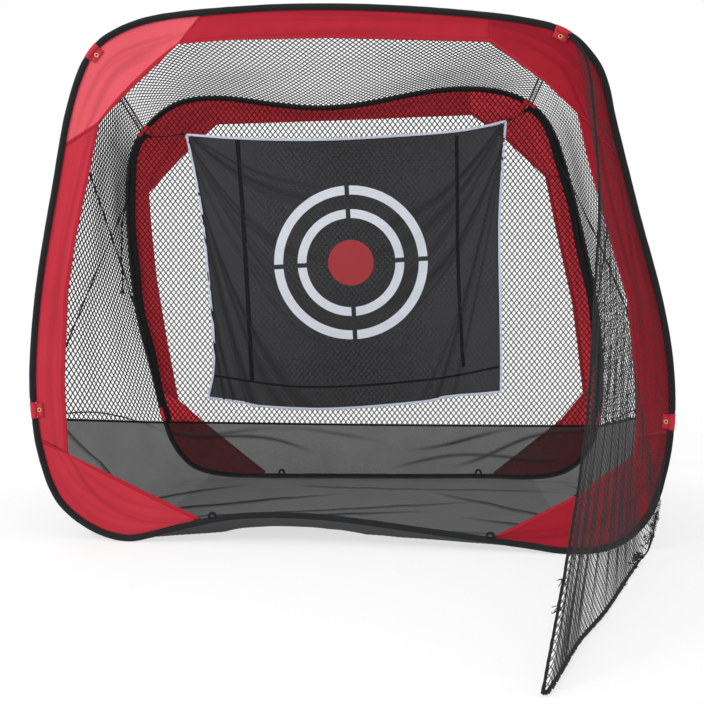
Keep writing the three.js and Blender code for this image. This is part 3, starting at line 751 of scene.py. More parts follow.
def make_panel(side, name, a, b, inner):
    """One cut panel of the border: its outer edge follows the hoop and its cloth is a little slack."""
    hoop = hoops[side]
    columns = max(24, int(((b - a) % 1.0) * hoop.length / PANEL_STEP))
    outer_edge = hoop.arc(a, b, columns, PANEL_EDGE_OFFSET)
    outer_edge[:, 1] += PANEL_SET_FORWARD
    inner_edge = resample(inner, columns)
    v = np.linspace(0, 1, PANEL_ROWS)[:, None, None]
    grid = outer_edge[None] * (1 - v) + inner_edge[None] * v
    u_m = lengths(outer_edge)[None, :]
    v_m = v[..., 0] * np.linalg.norm(inner_edge - outer_edge, axis=1)[None]
    seed = sum(map(ord, side + name))
    edge = np.sin(np.pi * v[..., 0]) ** 0.7
    pull = waves(u_m, v_m, seed, 0.10, 3.5) * 0.0022 + waves(u_m, v_m, seed + 1, 0.35) * 0.0030
    fold_count = 5 if "corner" in name else 3
    folds = tension_folds(np.linspace(0, 1, columns)[None, :], v[..., 0], v_m, seed, fold_count)
    grid[..., 1] += edge * (pull + FOLD_DEPTH * folds)
    panel = sheet_object(f"{side}_{name}_panel", grid, PANEL_REDS[side][name], HOOPS[side])
    # the folds are stamped for the material to darken them: painted shade
    stamp(panel, "fold", FOLD_SHADE * folds)
    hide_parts(f"{side}_{name}")
    pieces = [make_trim(f"{side}_{name}_hem", side, hem_strip(grid)),
              make_trim(f"{side}_{name}_seam", side, seam_strip(grid))]
    ends_apart = np.linalg.norm(outer_edge[0] - outer_edge[-1])
    wide = float(max((lengths(outer_edge)[-1] + lengths(inner_edge)[-1]) / 2, ends_apart))


def grid_area(grid):
    a, b, c, d = grid[:-1, :-1], grid[:-1, 1:], grid[1:, :-1], grid[1:, 1:]
    first = np.linalg.norm(np.cross(b - a, c - a), axis=-1)
    second = np.linalg.norm(np.cross(b - d, c - d), axis=-1)
    return float(first.sum() + second.sum()) / 2


def make_trim(name, side, strip):
    trim = sheet_object(name, strip, "hem_red" if side == "front" else "rear_red", HOOPS[side])
    return trim


def hem_strip(grid):
    """The folded hem along a panel's inner edge."""
    inner = grid[-1]
    inwards = unit(grid[-6] - inner)
    rows = zip(np.linspace(0, HEM_WIDTH, 4), (0.6, 1.0, 1.0, 1.0))
    return np.stack([inner + inwards * step + FORWARD * HEM_LIFT * lifted for step, lifted in rows])


def seam_strip(grid):
    """The raised felled seam where a panel meets the next one."""
    edge = grid[:, -1]
    back = unit(grid[:, -4] - edge)
    return np.stack([edge + back * step + FORWARD * SEAM_LIFT for step in np.linspace(*SEAM_BACK, 4)])


for hoop_side in HOOPS:
    make_sleeves(hoop_side)
    for corner_name in CORNERS:
        make_tab(hoop_side, corner_name)
    for panel_name, panel_edges in shared_edges(hoop_side).items():
        make_panel(hoop_side, panel_name, *panel_edges)

# ---------------------------------------------------------------- netting


def net_strings(inside, place, x_range, y_range, width, height):
    """The net's cords: zigzag lines through the knots of a diamond lattice, cut off at the net's edge.
    Inside tests flat points, and place maps them to the part's frame."""
    half_w, half_h = width / 2, height / 2
    i0, i1 = math.floor(x_range[0] / half_w) - 1, math.ceil(x_range[1] / half_w) + 1
    j0, j1 = math.floor(y_range[0] / half_h) - 1, math.ceil(y_range[1] / half_h) + 1
    runs = []
    for rise in (1, -1):
        for c in range((i0 - j1) if rise > 0 else (i0 + j0), (i1 - j0 if rise > 0 else i1 + j1) + 1):
            if c % 2:
                continue
            i = np.arange(i0, i1 + 1)
            j = (i - c) if rise > 0 else (c - i)
            keep = (j >= j0) & (j <= j1)
            flat = np.stack([i[keep] * half_w, j[keep] * half_h], axis=1)
            if len(flat) < 2:
                continue
            mask = inside(flat[:, 0], flat[:, 1])
            starts = np.where(mask & ~np.concatenate([[False], mask[:-1]]))[0]
            ends = np.where(mask & ~np.concatenate([mask[1:], [False]]))[0]
            for a, b in zip(starts, ends):
                line = [flat[k] for k in range(a, b + 1)]
                if a > 0:
                    line.insert(0, edge_point(inside, flat[a], flat[a - 1]))
                if b + 1 < len(flat):
                    line.append(edge_point(inside, flat[b], flat[b + 1]))
                runs.append(np.array(line))
    return [place(run[:, 0], run[:, 1]) for run in runs if len(run) > 1]


def edge_point(inside, within, beyond):
    """Where the line from a point within the net to one beyond it crosses the edge."""
    low, high = 0.0, 1.0
    for _ in range(9):
        mid = (low + high) / 2
        p = within + (beyond - within) * mid
        if inside(p[:1], p[1:])[0]:
            low = mid
        else:
            high = mid
    return within + (beyond - within) * low


def even_radius(name):
    """The radius of a net's cords, the same at every point."""
    return lambda points: np.full(len(points), NET_CORD_RADIUS[name])


def knots(points, radii):
    """A small eight-sided knot at each point."""
    tips = np.array([[1, 0, 0], [-1, 0, 0], [0, 1, 0], [0, -1, 0], [0, 0, 1], [0, 0, -1]])
    sides = np.array([[0, 2, 4], [2, 1, 4], [1, 3, 4], [3, 0, 4],
                      [2, 0, 5], [1, 2, 5], [3, 1, 5], [0, 3, 5]])
    verts = (points[:, None] + tips[None] * radii[:, None, None]).reshape(-1, 3)
    return verts, (np.arange(len(points))[:, None, None] * 6 + sides[None]).reshape(-1, 3)


def strings_object(name, lines, normal, material, body, radius_at):
    """Thin three-sided cords along many lines at once, with a knot wherever two of them cross.
    Radius_at gives the cords' radius at each of a row of points."""
    lines = [line for line in lines if np.linalg.norm(line[-1] - line[0]) > 1e-4]
    points = np.vstack(lines)
    counts = np.array([len(line) for line in lines])
    ends = np.cumsum(counts)
    first = np.concatenate([[0], ends[:-1]])
    ahead = np.vstack([points[1:], points[-1:]]) - points
    behind = points - np.vstack([points[:1], points[:-1]])
    ahead[ends - 1] = behind[ends - 1]
    behind[first] = ahead[first]
    tangent = unit(ahead + behind)
    normal = np.broadcast_to(np.asarray(normal, float), points.shape)
    side = unit(np.cross(tangent, normal))
    up = np.cross(side, tangent)
    turns = np.array([0.5, 7 / 6, 11 / 6]) * np.pi
    around = side[:, None] * np.cos(turns)[None, :, None] + up[:, None] * np.sin(turns)[None, :, None]
    verts = points[:, None] + radius_at(points)[:, None, None] * around
    start = np.setdiff1d(np.arange(len(points)), ends - 1) * 3
    quads = [np.stack([start + k, start + m, start + m + 3, start + k + 3], axis=1)
             for k, m in ((0, 1), (1, 2), (2, 0))]
    caps = np.vstack([np.stack([first * 3 + 2, first * 3 + 1, first * 3], axis=1),
                      np.stack([(ends - 1) * 3, (ends - 1) * 3 + 1, (ends - 1) * 3 + 2], axis=1)])
    inner = np.setdiff1d(np.arange(len(points)), np.concatenate([first, ends - 1]))
    crossings = points[inner][np.unique(np.round(points[inner], 4), axis=0, return_index=True)[1]]
    knot_verts, knot_faces = knots(crossings, radius_at(crossings) * KNOT_SHARE)
    return new_object(name, np.vstack([verts.reshape(-1, 3), knot_verts]),
                      [np.vstack(quads), caps, knot_faces + len(points) * 3], material, body)


def towards_middle(place):
    """The level direction from a place between the hoops to the middle of the net."""
    return unit(np.array([0.0, place[1], MIDDLE_HEIGHT]) - place)


class Span:
    """The surface stretched between an arc of the front hoop and an arc of the rear hoop."""

    POINTS = 240

    def __init__(self, front, rear, sag, seed):
        self.front = hoops["front"].arc(*front, self.POINTS)
        self.front[:, 1] += NET_SETBACK
        self.rear = hoops["rear"].arc(*rear, self.POINTS)
        self.rear[:, 1] -= NET_SETBACK
        self.wide = (lengths(self.front)[-1] + lengths(self.rear)[-1]) / 2
        self.deep = float(np.linalg.norm(self.front - self.rear, axis=1).mean())
        self.sag = sag
        self.seed = seed
        middle = (self.front.mean(0) + self.rear.mean(0)) / 2
        self.inwards = towards_middle(middle)

    def point(self, u, v):
        """U runs along the hoops and v from front to rear, both from 0 to 1."""
        k = np.clip(u, 0, 1) * (self.POINTS - 1)
        a, b = rows_at(self.front, k), rows_at(self.rear, k)
        v = np.asarray(v)[..., None]
        ripple = waves(np.asarray(u) * self.wide, v[..., 0] * self.deep, self.seed, 0.5)
        edge = 4 * v[..., 0] * (1 - v[..., 0]) * np.clip(np.minimum(u, 1 - np.asarray(u)) * 12, 0, 1)
        push = edge * (self.sag + 0.004 * ripple)
        return a * (1 - v) + b * v + self.inwards * push[..., None]


def make_span_net(name, span):
    """Netting whose diamonds fit the span's edges exactly, so its edge cords meet the border."""
    across = round(span.wide / SPAN_MESH[name][0])
    down = round(span.deep / SPAN_MESH[name][1])
    slack = 1e-6

    def inside(x, y):
        return (np.minimum(x, y) >= -slack) & (np.maximum(x, y) <= 1 + slack)

    lines = net_strings(inside, span.point, (0, 1), (0, 1), 1 / across, 1 / down)
    net = strings_object(f"{name}_cords", lines, span.inwards, "net_black", "front_frame", even_radius(name))
    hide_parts(name)
    flatten_with_collapse(net)


def lowest(points):
    return points[:, 2].argmin()


def nearest_middle(points):
    return np.abs(points[:, 0]).argmin()


def node_share(side, node, pick):
    """How far round a hoop a node's lowest point, or the one nearest the middle, lies."""
    points = node_points(node)
    y, reach = (FRONT_Y, 0.2) if side == "front" else (REAR_Y, 0.03)
    near = points[np.abs(points[:, 1] - y) < reach]
    return hoops[side].nearest(near[pick(near)])[0]


SPLIT = {
    side: {
        "upper_left": TAB_AT[side, "upper_left"],
        "upper_right": TAB_AT[side, "upper_right"],
        "right_skirt": node_share(side, "right_net", lowest),
        "left_skirt": node_share(side, "left_net", lowest),
        "right_floor": node_share(side, "right_skirt", nearest_middle),
        "left_floor": node_share(side, "left_skirt", nearest_middle),
    }
    for side in HOOPS
}


def span_between(a, b, sag, seed):
    return Span((SPLIT["front"][a], SPLIT["front"][b]), (SPLIT["rear"][a], SPLIT["rear"][b]), sag, seed)


SPANS = {
    "roof_net": span_between("upper_left", "upper_right", 0.012, 3),
    "right_net": span_between("upper_right", "right_skirt", 0.008, 4),
    "left_net": span_between("left_skirt", "upper_left", 0.008, 5),
}
for net_name, net_span in SPANS.items():
    make_span_net(net_name, net_span)


def make_back_net():
    """The flat net inside the rear hoop, above the skirt."""
    low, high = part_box("back_net")
    plane = (low.y + high.y) / 2
    arc = hoops["rear"].arc(SPLIT["rear"]["left_skirt"], SPLIT["rear"]["right_skirt"], 400, 0.006)
    starts = arc[:, [0, 2]]
    steps = np.roll(starts, -1, axis=0) - starts
    slopes = steps[:, 0] / np.where(steps[:, 1] == 0, 1e-12, steps[:, 1])

    def inside(x, z):
        """A line from the point out to one side crosses the outline an odd number of times."""
        x, z = np.asarray(x, float)[:, None], np.asarray(z, float)[:, None]
        rise = z - starts[:, 1]
        crosses = (rise < 0) != (rise < steps[:, 1])
        return (crosses & (x < starts[:, 0] + rise * slopes)).sum(1) % 2 == 1

    def place(x, z):
        y = plane + 0.0025 * waves(x, z, 8, 0.5)
        return np.stack([x + 0.002 * waves(x, z, 9, 0.6), y, z + 0.002 * waves(x, z, 10, 0.6)], axis=-1)

    lines = net_strings(inside, place, (low.x, high.x), (low.z, high.z), *BACK_MESH)
    net = strings_object("back_net_cords", lines, FORWARD, "net_black", "rear_frame", even_radius("back_net"))
    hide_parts("back_net")


make_back_net()

# ---------------------------------------------------------------- mesh tub: floor and skirts

HEM_TAPE = 0.010
PLEAT_DEEP = 0.010                 # a fold this deep is stamped as fully dark


def pleat_height(x, y, pleats):
    """Height of narrow folds that run along lines: each is ((x, y), (x, y), width, height)."""
    total = np.zeros(np.broadcast(x, y).shape)
    for (x0, y0), (x1, y1), width, height in pleats:
        dx, dy = x1 - x0, y1 - y0
        span = math.hypot(dx, dy)
        along = ((x - x0) * dx + (y - y0) * dy) / span**2
        bend = 0.03 * np.sin(np.pi * np.clip(along, 0, 1) * 1.6 + x0 * 9)
        off = ((x - x0) * dy - (y - y0) * dx) / span + bend
        fade = np.clip(np.minimum(along * 14 + 0.6, (1 - along) * 4), 0, 1)
        total = np.maximum(total, height * fade * np.exp(-(off / width) ** 2))
    return total


def foot_arc(side, count, inset=0.0):
    """The part of a hoop below the skirts' upper edges, from right to left."""
    return hoops[side].arc(SPLIT[side]["right_skirt"], SPLIT[side]["left_skirt"], count, inset)


class Tub:
    """The one sheet that forms the floor and both side skirts, before it is cut into its three parts."""

    POINTS = 400
    DEEP = 1.22      # of the flat sheet, from front to rear
    PLEATS = (   # on the flat sheet: metres along the hoop from its middle, and from front to rear
        ((-1.42, 0.02), (-0.10, 0.95), 0.007, 0.012),
        ((-1.42, 0.04), (-0.55, 1.15), 0.008, 0.012),
        ((-1.40, 0.00), (0.30, 0.62), 0.007, 0.012),
        ((-1.30, 0.10), (0.60, 0.86), 0.006, 0.008),
        ((-1.48, 0.10), (-1.30, 1.20), 0.008, 0.010),
        ((1.30, 0.02), (0.15, 0.98), 0.008, 0.010),
        ((1.20, 0.10), (0.30, 0.50), 0.007, 0.009),
        ((1.40, 0.05), (0.85, 1.18), 0.008, 0.010),
        ((-0.60, 0.30), (0.70, 0.22), 0.010, 0.006),
        ((-0.30, 1.05), (0.90, 0.92), 0.009, 0.006),
    )

    def __init__(self):
        self.front, self.rear = foot_arc("front", self.POINTS), foot_arc("rear", self.POINTS)
        self.front[:, 1] += NET_SETBACK
        self.rear[:, 1] -= NET_SETBACK
        self.wide = (lengths(self.front)[-1] + lengths(self.rear)[-1]) / 2

    def cut(self, name):
        """The shares of the front and rear arcs where a seam lies."""
        shares = []
        for side, arc in (("front", self.front), ("rear", self.rear)):
            off = (arc - hoops[side].at(SPLIT[side][name]))[:, [0, 2]]
            shares.append(np.linalg.norm(off, axis=1).argmin() / (self.POINTS - 1))
        return shares

    def grid(self, start, end, columns, rows, ahead):
        """Points of the part of the tub between two cuts, and the height of its folds. Ahead is the strip in
        front of the upright part of the hoop, which doesn't flatten when the net collapses."""
        share_front, share_rear = (np.linspace(start[i], end[i], columns)[None] for i in (0, 1))
        a = rows_at(self.front, share_front * (self.POINTS - 1))
        b = rows_at(self.rear, share_rear * (self.POINTS - 1))
        fixed = np.clip((HELD_Y - a[..., 1]) / (b[..., 1] - a[..., 1]), 0, 1)
        t = np.linspace(0, 1, rows)[:, None]
        v = fixed * t if ahead else fixed + (1 - fixed) * t
        flat = (0.5 - share_front) * self.wide
        depth = v * self.DEEP
        points = a * (1 - v[..., None]) + b * v[..., None]
        held = np.clip(np.minimum(v, 1 - v) * 9, 0, 1) ** 1.5
        low = np.clip(1 - points[..., 2] / 0.22, 0, 1)
        points[..., 2] -= np.minimum(points[..., 2] - 0.0025, held * low * 0.12)
        side = np.sign(points[..., 0]) * np.clip(points[..., 2] / 0.1, 0, 1)
        ripple = 0.5 * waves(flat, depth, 31, 0.33, 1.6) + 0.5 * waves(flat, depth, 32, 0.13, 2.4)
        fold = pleat_height(flat, depth, self.PLEATS) * held
        push = held * 0.006 * ripple
        lift = fold + held * 0.003 * (1 + ripple)
        points[..., 0] += side * push - side * fold
        points[..., 2] += np.maximum(lift, 0) * (1 - np.abs(side))
        return points, fold


def mesh_sheet(name, grid, fold, cloth, body):
    obj = sheet_object(name, grid, cloth, body, thickness=0)
    stamp(obj, "fold", np.clip(fold / PLEAT_DEEP, 0, 1))
    return obj


def declare_sheet(grid):
    """Works out the mean length of a cloth's first and last rows and its area over that length, but keeps
    neither.
    """
    wide = float(lengths(grid[0])[-1] + lengths(grid[-1])[-1]) / 2
    round(grid_area(grid) / wide, 3)


def tape_along(name, line, normal, width, body, thickness=0.0014):
    """A flat sewn tape that follows a line on a surface."""
    side = np.cross(unit(np.gradient(line, axis=0)), normal)
    verts, faces = sweep(line, rounded_strip(width, thickness), side=side)
    obj = new_object(name, verts, faces, "webbing_black", body)
    return obj


def skirt_tapes(name, edge):
    """The tape along a skirt's upper edge, and the slack one that rises from it."""
    outwards = np.array([np.sign(edge[0, 0]), 0.0, 0.0])
    share = np.linspace(0, 1, len(edge))
    slack = edge - outwards * 0.004
    slack[:, 2] += 0.034 * np.sin(np.pi * np.clip((share - 0.02) / 0.72, 0, 1)) ** 0.8
    tapes = [tape_along(f"{name}_hem", edge, outwards, HEM_TAPE, "front_frame"),
             tape_along(f"{name}_slack_hem", slack, outwards, 0.006, "front_frame")]
    for tape in tapes:
        flatten_with_collapse(tape)
    return tapes


def make_tub():
    tub = Tub()
    right_cut, left_cut = tub.cut("right_floor"), tub.cut("left_floor")
    for name, start, end, columns, cloth, top_edge in (
            ("right_skirt", (0, 0), right_cut, 70, "grey_mesh", 0),
            ("ground_sheet", right_cut, left_cut, 230, "floor_mesh", None),
            ("left_skirt", left_cut, (1, 1), 70, "grey_mesh", -1)):
        pieces = []
        if name != "left_skirt":
            pieces.append(mesh_sheet(f"{name}_front_strip", *tub.grid(start, end, columns, 26, True), cloth,
                                     "front_frame"))
        grid, fold = tub.grid(start, end, columns, 190, False)
        obj = mesh_sheet(f"{name}_mesh", grid, fold, cloth, "front_frame")
        flatten_with_collapse(obj)
        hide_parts(name)
        if top_edge is None:
            declare_sheet(grid)
        else:
            pieces += skirt_tapes(name, grid[:, top_edge])
            declare_sheet(grid)


BACK_PLEATS = (      # (x, z) from end to end, width and height
    ((1.05, 0.26), (0.20, 0.17), 0.008, 0.010), ((1.05, 0.24), (0.40, 0.09), 0.008, 0.010),
    ((-0.90, 0.25), (-0.20, 0.12), 0.008, 0.009), ((-0.80, 0.22), (0.10, 0.21), 0.009, 0.007),
    ((0.90, 0.13), (0.10, 0.06), 0.008, 0.008),
)


def make_back_skirt():
    """The fine mesh that closes the foot of the rear hoop."""
    low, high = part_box("back_skirt")
    plane = (low.y + high.y) / 2
    foot = foot_arc("rear", 200, 0.004)[:, [0, 2]]
    top = np.linspace(foot[0], foot[-1], 200)
    top[:, 1] -= 0.004 * np.sin(np.linspace(0, np.pi, 200))
    v = np.linspace(0, 1, 46)[:, None]
    x = foot[None, :, 0] * (1 - v) + top[None, :, 0] * v
    z = foot[None, :, 1] * (1 - v) + top[None, :, 1] * v
    middle = np.clip(np.minimum(v, 1 - v) * 5, 0, 1)
    fold = pleat_height(x, z, BACK_PLEATS) * middle
    y = plane + middle * 0.004 * waves(x, z * 2.5, 41, 0.35) - fold
    grid = np.stack([x, y, z], axis=-1)
    obj = mesh_sheet("back_skirt_mesh", grid, fold, "grey_mesh", "rear_frame")
    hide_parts("back_skirt")
    hem = tape_along("back_skirt_hem", grid[-1], FORWARD, HEM_TAPE, "rear_frame")
    declare_sheet(grid)


make_tub()
make_back_skirt()

# ---------------------------------------------------------------- seam tapes of the nets


SEAM_TAPE_SPREAD = 0.010           # of each tape from the tab, along the hoop
SEAM_TAPE = 0.007
EDGE_TAPE = 0.026


def make_seam_tapes():
    """Two tapes from front to rear where each side net meets the roof."""
    share = np.linspace(0, 1, 60)[:, None]
    for corner in ("upper_left", "upper_right"):
        for k, shift in enumerate((-SEAM_TAPE_SPREAD, SEAM_TAPE_SPREAD)):
            a, b = (hoop.at(TAB_AT[side, corner] + shift / hoop.length) for side, hoop in hoops.items())
            a[1] += NET_SETBACK
            b[1] -= NET_SETBACK
            line = a * (1 - share) + b * share
            inwards = towards_middle(line.mean(0))
            line = line + inwards * 0.003
            tape = tape_along(f"{corner}_seam_tape_{k + 1}", line, inwards, SEAM_TAPE, "front_frame")
            flatten_with_collapse(tape)


def make_back_hem():
    """The bound edge of the back net, which stands a little inside the rear hoop down both sides."""
    hoop = hoops["rear"]
    share = np.linspace(0, 1, 160)
    for name, start, end in (("right", "upper_right", "right_skirt"), ("left", "left_skirt", "upper_left")):
        a, b = SPLIT["rear"][start], SPLIT["rear"][end]
        s = a + (b - a) % 1.0 * share
        inset = 0.018 + 0.008 * np.sin(np.pi * share) + 0.003 * np.sin(share * 23 + a * 9)
        line = hoop.at(s) + hoop.inwards(s) * inset[:, None]
        line[:, 1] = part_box("back_net")[0].y - 0.003
        tape_along(f"back_net_{name}_edge", line, FORWARD, EDGE_TAPE, "rear_frame")


make_seam_tapes()
make_back_hem()

# ---------------------------------------------------------------- cords

CORD_RADIUS = 0.003
TIE_RADIUS = 0.0025
TIE_SAG = 0.006
SIDE_CORDS = {
    "left_falling_cord": ((-0.975, -0.611, 1.377), (-0.983, -0.210, 1.137), (-0.991, 0.190, 0.892),
                          (-0.999, 0.585, 0.650)),
    "left_rising_cord": ((-1.078, -0.608, 0.742), (-1.077, -0.210, 0.940), (-1.075, 0.190, 1.134),
                         (-1.072, 0.585, 1.325)),
    "right_rising_cord": ((1.028, -0.605, 0.862), (0.996, -0.210, 1.066), (0.957, 0.190, 1.266),
                          (0.907, 0.585, 1.462)),
    "right_falling_cord": ((0.945, -0.605, 1.180), (0.990, -0.210, 1.048), (1.034, 0.190, 0.917),
                           (1.073, 0.585, 0.790)),
}
CORD_TAIL = (
    (-1.072, 0.480, 1.269), (-1.0755, 0.458, 1.228), (-1.077, 0.435, 1.180), (-1.0745, 0.420, 1.115),
    (-1.076, 0.410, 1.050), (-1.0715, 0.406, 0.975), (-1.070, 0.400, 0.890),
)


def knot_part(centre, radius, axis, seed):
    """An overhand knot: a short cord wound over itself."""
    t = np.linspace(0, 2 * np.pi * 0.97, 44)
    trefoil = np.stack([
        np.sin(t) + 2 * np.sin(2 * t), np.cos(t) - 2 * np.cos(2 * t), -1.6 * np.sin(3 * t),
    ], axis=1)
    axis = unit(np.asarray(axis, float))
    side = unit(np.cross(axis, [0.3, 1.0, 0.2 + 0.1 * seed]))
    frame_axes = np.stack([side, np.cross(axis, side), axis])
    return sweep(np.asarray(centre) + radius * trefoil @ frame_axes, circle(radius * 0.95, 8))


def make_cord(name, points, radius, body, knots_at, count=31):
    """A cord along its points. Knots_at gives the place and direction of each knot."""
    path = smooth_line(points, count)
    fine = smooth_line(path, count * 3)
    cord = new_object(f"{name}_rope", *sweep(fine, circle(radius, 10)), "cord_black", body)
    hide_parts(name)
    pieces = [
        new_object(f"{name}_knot_{k + 1}", *knot_part(place, radius * 0.9, direction, k), "cord_black", body)
        for k, (place, direction) in enumerate(knots_at)
    ]
    round(float(lengths(fine)[-1]), 3)
    if body == "front_frame":
        for piece in (cord, *pieces):
            flatten_with_collapse(piece)


def make_target_tie(side, way):
    """The tie from an eyelet of the rear hoop to a corner of the target. Way is -1 for left, 1 for right."""
    low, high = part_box(f"{side}_target_tie")
    s = TAB_AT["rear", f"upper_{side}"]
    eye = hoops["rear"].at(s) + hoops["rear"].inwards(s) * (FLAP_REACH + TIE_RADIUS + 0.002)
    start = np.array([eye[0], high.y - TIE_RADIUS, eye[2]])
    if way < 0:
        end = np.array([high.x - TIE_RADIUS, low.y + TIE_RADIUS, (low.z + high.z) / 2 + 0.004])
    else:
        end = np.array([low.x + TIE_RADIUS, low.y + TIE_RADIUS, low.z + TIE_RADIUS])
    middle = (start + end) / 2 - [0, 0, TIE_SAG]
    make_cord(f"{side}_target_tie", (start, middle, end), TIE_RADIUS, "rear_frame",
              [(start, end - start), (end, end - start)], 15)


def make_cords():
    for name, points in SIDE_CORDS.items():
        ways = np.diff(points, axis=0)
        make_cord(name, points, CORD_RADIUS, "front_frame",
                  [(points[0], ways[0]), (points[-1], ways[-1])])
    make_cord("left_cord_tail", CORD_TAIL, CORD_RADIUS, "front_frame",
              [(CORD_TAIL[-1], (0.0, 0.0, 1.0))])
    make_target_tie("left", -1)
    make_target_tie("right", 1)


make_cords()

# ---------------------------------------------------------------- target

TARGET_Y = 0.51925
TRIM_LIFT = 0.0012                 # of the bindings and seams from the cloth
TARGET_MIDDLE, TARGET_HALF, TARGET_CREST = -0.070, 0.745, 1.665      # where its folds hang from
TARGET_BINDINGS = (  # name, distance inside the edge, width and material
    ("piping", 0.0055, 0.0125, "piping"), ("piping_stitch", 0.0135, 0.004, "navy_stitch"),
)
TARGET_TOP = (       # its edges: (x, z) from end to end
    (-0.795, 1.603), (-0.560, 1.588), (-0.300, 1.582), (-0.039, 1.588), (0.370, 1.612),
    (0.540, 1.634), (0.655, 1.660),
)
TARGET_RIGHT = ((0.655, 1.660), (0.636, 1.300), (0.636, 1.080), (0.647, 0.616), (0.647, 0.428))
TARGET_BOTTOM = (
    (-0.708, 0.395), (-0.570, 0.376), (-0.439, 0.352), (-0.139, 0.343), (0.271, 0.376),
    (0.403, 0.403), (0.647, 0.428),
)
TARGET_LEFT = (
    (-0.795, 1.603), (-0.763, 1.440), (-0.731, 1.240), (-0.713, 1.044), (-0.683, 0.700),
    (-0.683, 0.525), (-0.708, 0.395),
)
TARGET_SEAMS = {     # flat tapes: (x, z) from end to end, and width
    "left_seam": (((-0.560, 1.575), (-0.530, 1.110), (-0.500, 0.480)), 0.020),
    "right_seam": (((0.432, 1.595), (0.445, 0.960), (0.470, 0.545)), 0.016),
    "lower_seam": (((-0.672, 0.500), (-0.250, 0.450), (0.300, 0.485), (0.640, 0.548)), 0.010),
}


def coons(top, right, bottom, left, columns, rows):
    """A grid of (x, z) points between four edges."""
    t, b = (smooth_line(e, columns)[None] for e in (top, bottom))
    le, r = (smooth_line(e, rows)[:, None] for e in (left, right))
    u = np.linspace(0, 1, columns)[None, :, None]
    v = np.linspace(0, 1, rows)[:, None, None]
    corners = (t[:, :1] * (1 - u) + t[:, -1:] * u) * (1 - v) + (b[:, :1] * (1 - u) + b[:, -1:] * u) * v
    return t * (1 - v) + b * v + le * (1 - u) + r * u - corners


def target_folds(x, z):
    """Narrow folds that hang in bows from the two upper corners, as a share of their full height."""
    rng = np.random.default_rng(61)
    across = np.clip((x - TARGET_MIDDLE) / TARGET_HALF, -0.999, 0.999)
    drop = np.maximum(TARGET_CREST + 0.03 * across - z, 0)
    total = np.zeros_like(x)
    for _ in range(34):
        power = rng.uniform(1.7, 2.6)
        reach = drop / (1 - np.abs(across) ** power) ** rng.uniform(0.85, 1.15)
        depth = 0.30 + 2.6 * rng.uniform(0, 1) ** 1.2
        narrow = rng.uniform(0.009, 0.026) * (0.6 + depth)
        side = rng.choice([-1.0, -1.0, 1.0])
        one_sided = np.clip(0.5 + side * across * 2.2, 0, 1)
        wander = 0.03 * depth * np.sin(across * rng.uniform(2, 5) + rng.uniform(0, 6))
        strength = rng.uniform(0.35, 1.0) * (0.10 + 0.90 * np.abs(across) ** 1.3) * one_sided
        total = np.maximum(total, strength * np.exp(-((reach - depth - wander) / narrow) ** 2))
    return total * np.clip(drop / 0.08, 0, 1)


def target_depth(x, z):
    """How far the cloth stands forward of its plane."""
    soft = 0.007 * waves(x, z, 65, 0.55, 1.4) + 0.0022 * waves(x, z, 66, 0.14, 2.2)
    return soft + 0.009 * target_folds(x, z)


def make_target():
    grid = coons(TARGET_TOP, TARGET_RIGHT, TARGET_BOTTOM, TARGET_LEFT, 260, 220)
    x, z = grid[..., 0], grid[..., 1]
    cloth = np.stack([x, TARGET_Y - target_depth(x, z), z], axis=-1)
    obj = sheet_object("target_cloth", cloth, "target", "target", uv=grid)
    stamp(obj, "fold", target_folds(x, z))
    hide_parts("target_sheet")
    edge = np.vstack([cloth[0], cloth[1:, -1], cloth[-1, ::-1][1:], cloth[::-1, 0][1:-1]])
    line = resample(np.vstack([edge, edge[:1]]), 1200)
    middle = line.mean(0)
    for label, inset, width, material in TARGET_BINDINGS:
        path = line + unit(middle - line) * inset
        profile = rounded_strip(width, 0.0035, 5)
        band = sweep(path + FORWARD * TRIM_LIFT, profile, side=unit(middle - path), capped=False)
        new_object(f"target_{label}", *band, material, "target")
    for name, (points, width) in TARGET_SEAMS.items():
        x, z = smooth_line(points, 120).T
        spot = np.stack([x, TARGET_Y - target_depth(x, z) - TRIM_LIFT, z], axis=1)
        tape_along(f"target_{name}", spot, FORWARD, width, "target")
    declare_sheet(cloth)


make_target()

# ---------------------------------------------------------------- side barrier

HELD_MESH = (0.0118, 0.0270)        # one diamond of the barrier's net, gathered over the border
LOOSE_MESH = (0.0300, 0.0255)       # and stretched where it hangs free
HELD_CORD_RADIUS = 0.0009
LOOSE_CORD_RADII = ((0.15, 0.60, 1.10), (0.00145, 0.00100, 0.00060))    # at these heights
WING_FRONT_EDGE = (
    (0.800, -0.665, 1.870), (0.850, -0.700, 1.765), (0.862, -0.850, 1.505), (0.848, -1.050, 1.245),
    (0.806, -1.275, 0.990), (0.745, -1.600, 0.650), (0.660, -1.920, 0.340), (0.545, -2.290, 0.008),
)
WING_GROUND_EDGE = (
    (1.118, -0.765, 0.155), (1.075, -0.860, 0.045), (1.000, -1.000, 0.008), (0.820, -1.535, 0.008),
    (0.690, -1.870, 0.008), (0.575, -2.240, 0.009),
)
WING_HINGE = ((0.805, -0.660, 1.860), (1.135, -0.750, 0.180))
WING_ROWS = 300
WING_LOWEST = 0.004
WING_NORMAL = (0.3, -1.0, 0.1)
EDGE_TUFTS = ((0.865, 0.020), (0.90, 0.020), (0.63, 0.012), (0.75, 0.012))  # share of the edge, and size
HEM_TUFTS = (0.19, 0.24, 0.33)                                              # share of the way along the hem
HEM_RADII = ((0.0, 0.14, 0.22), (0.0030, 0.0035, 0.0064))                   # at these shares
TAB_GAP = 0.032                     # above and below the lower right tab, where nothing is sewn


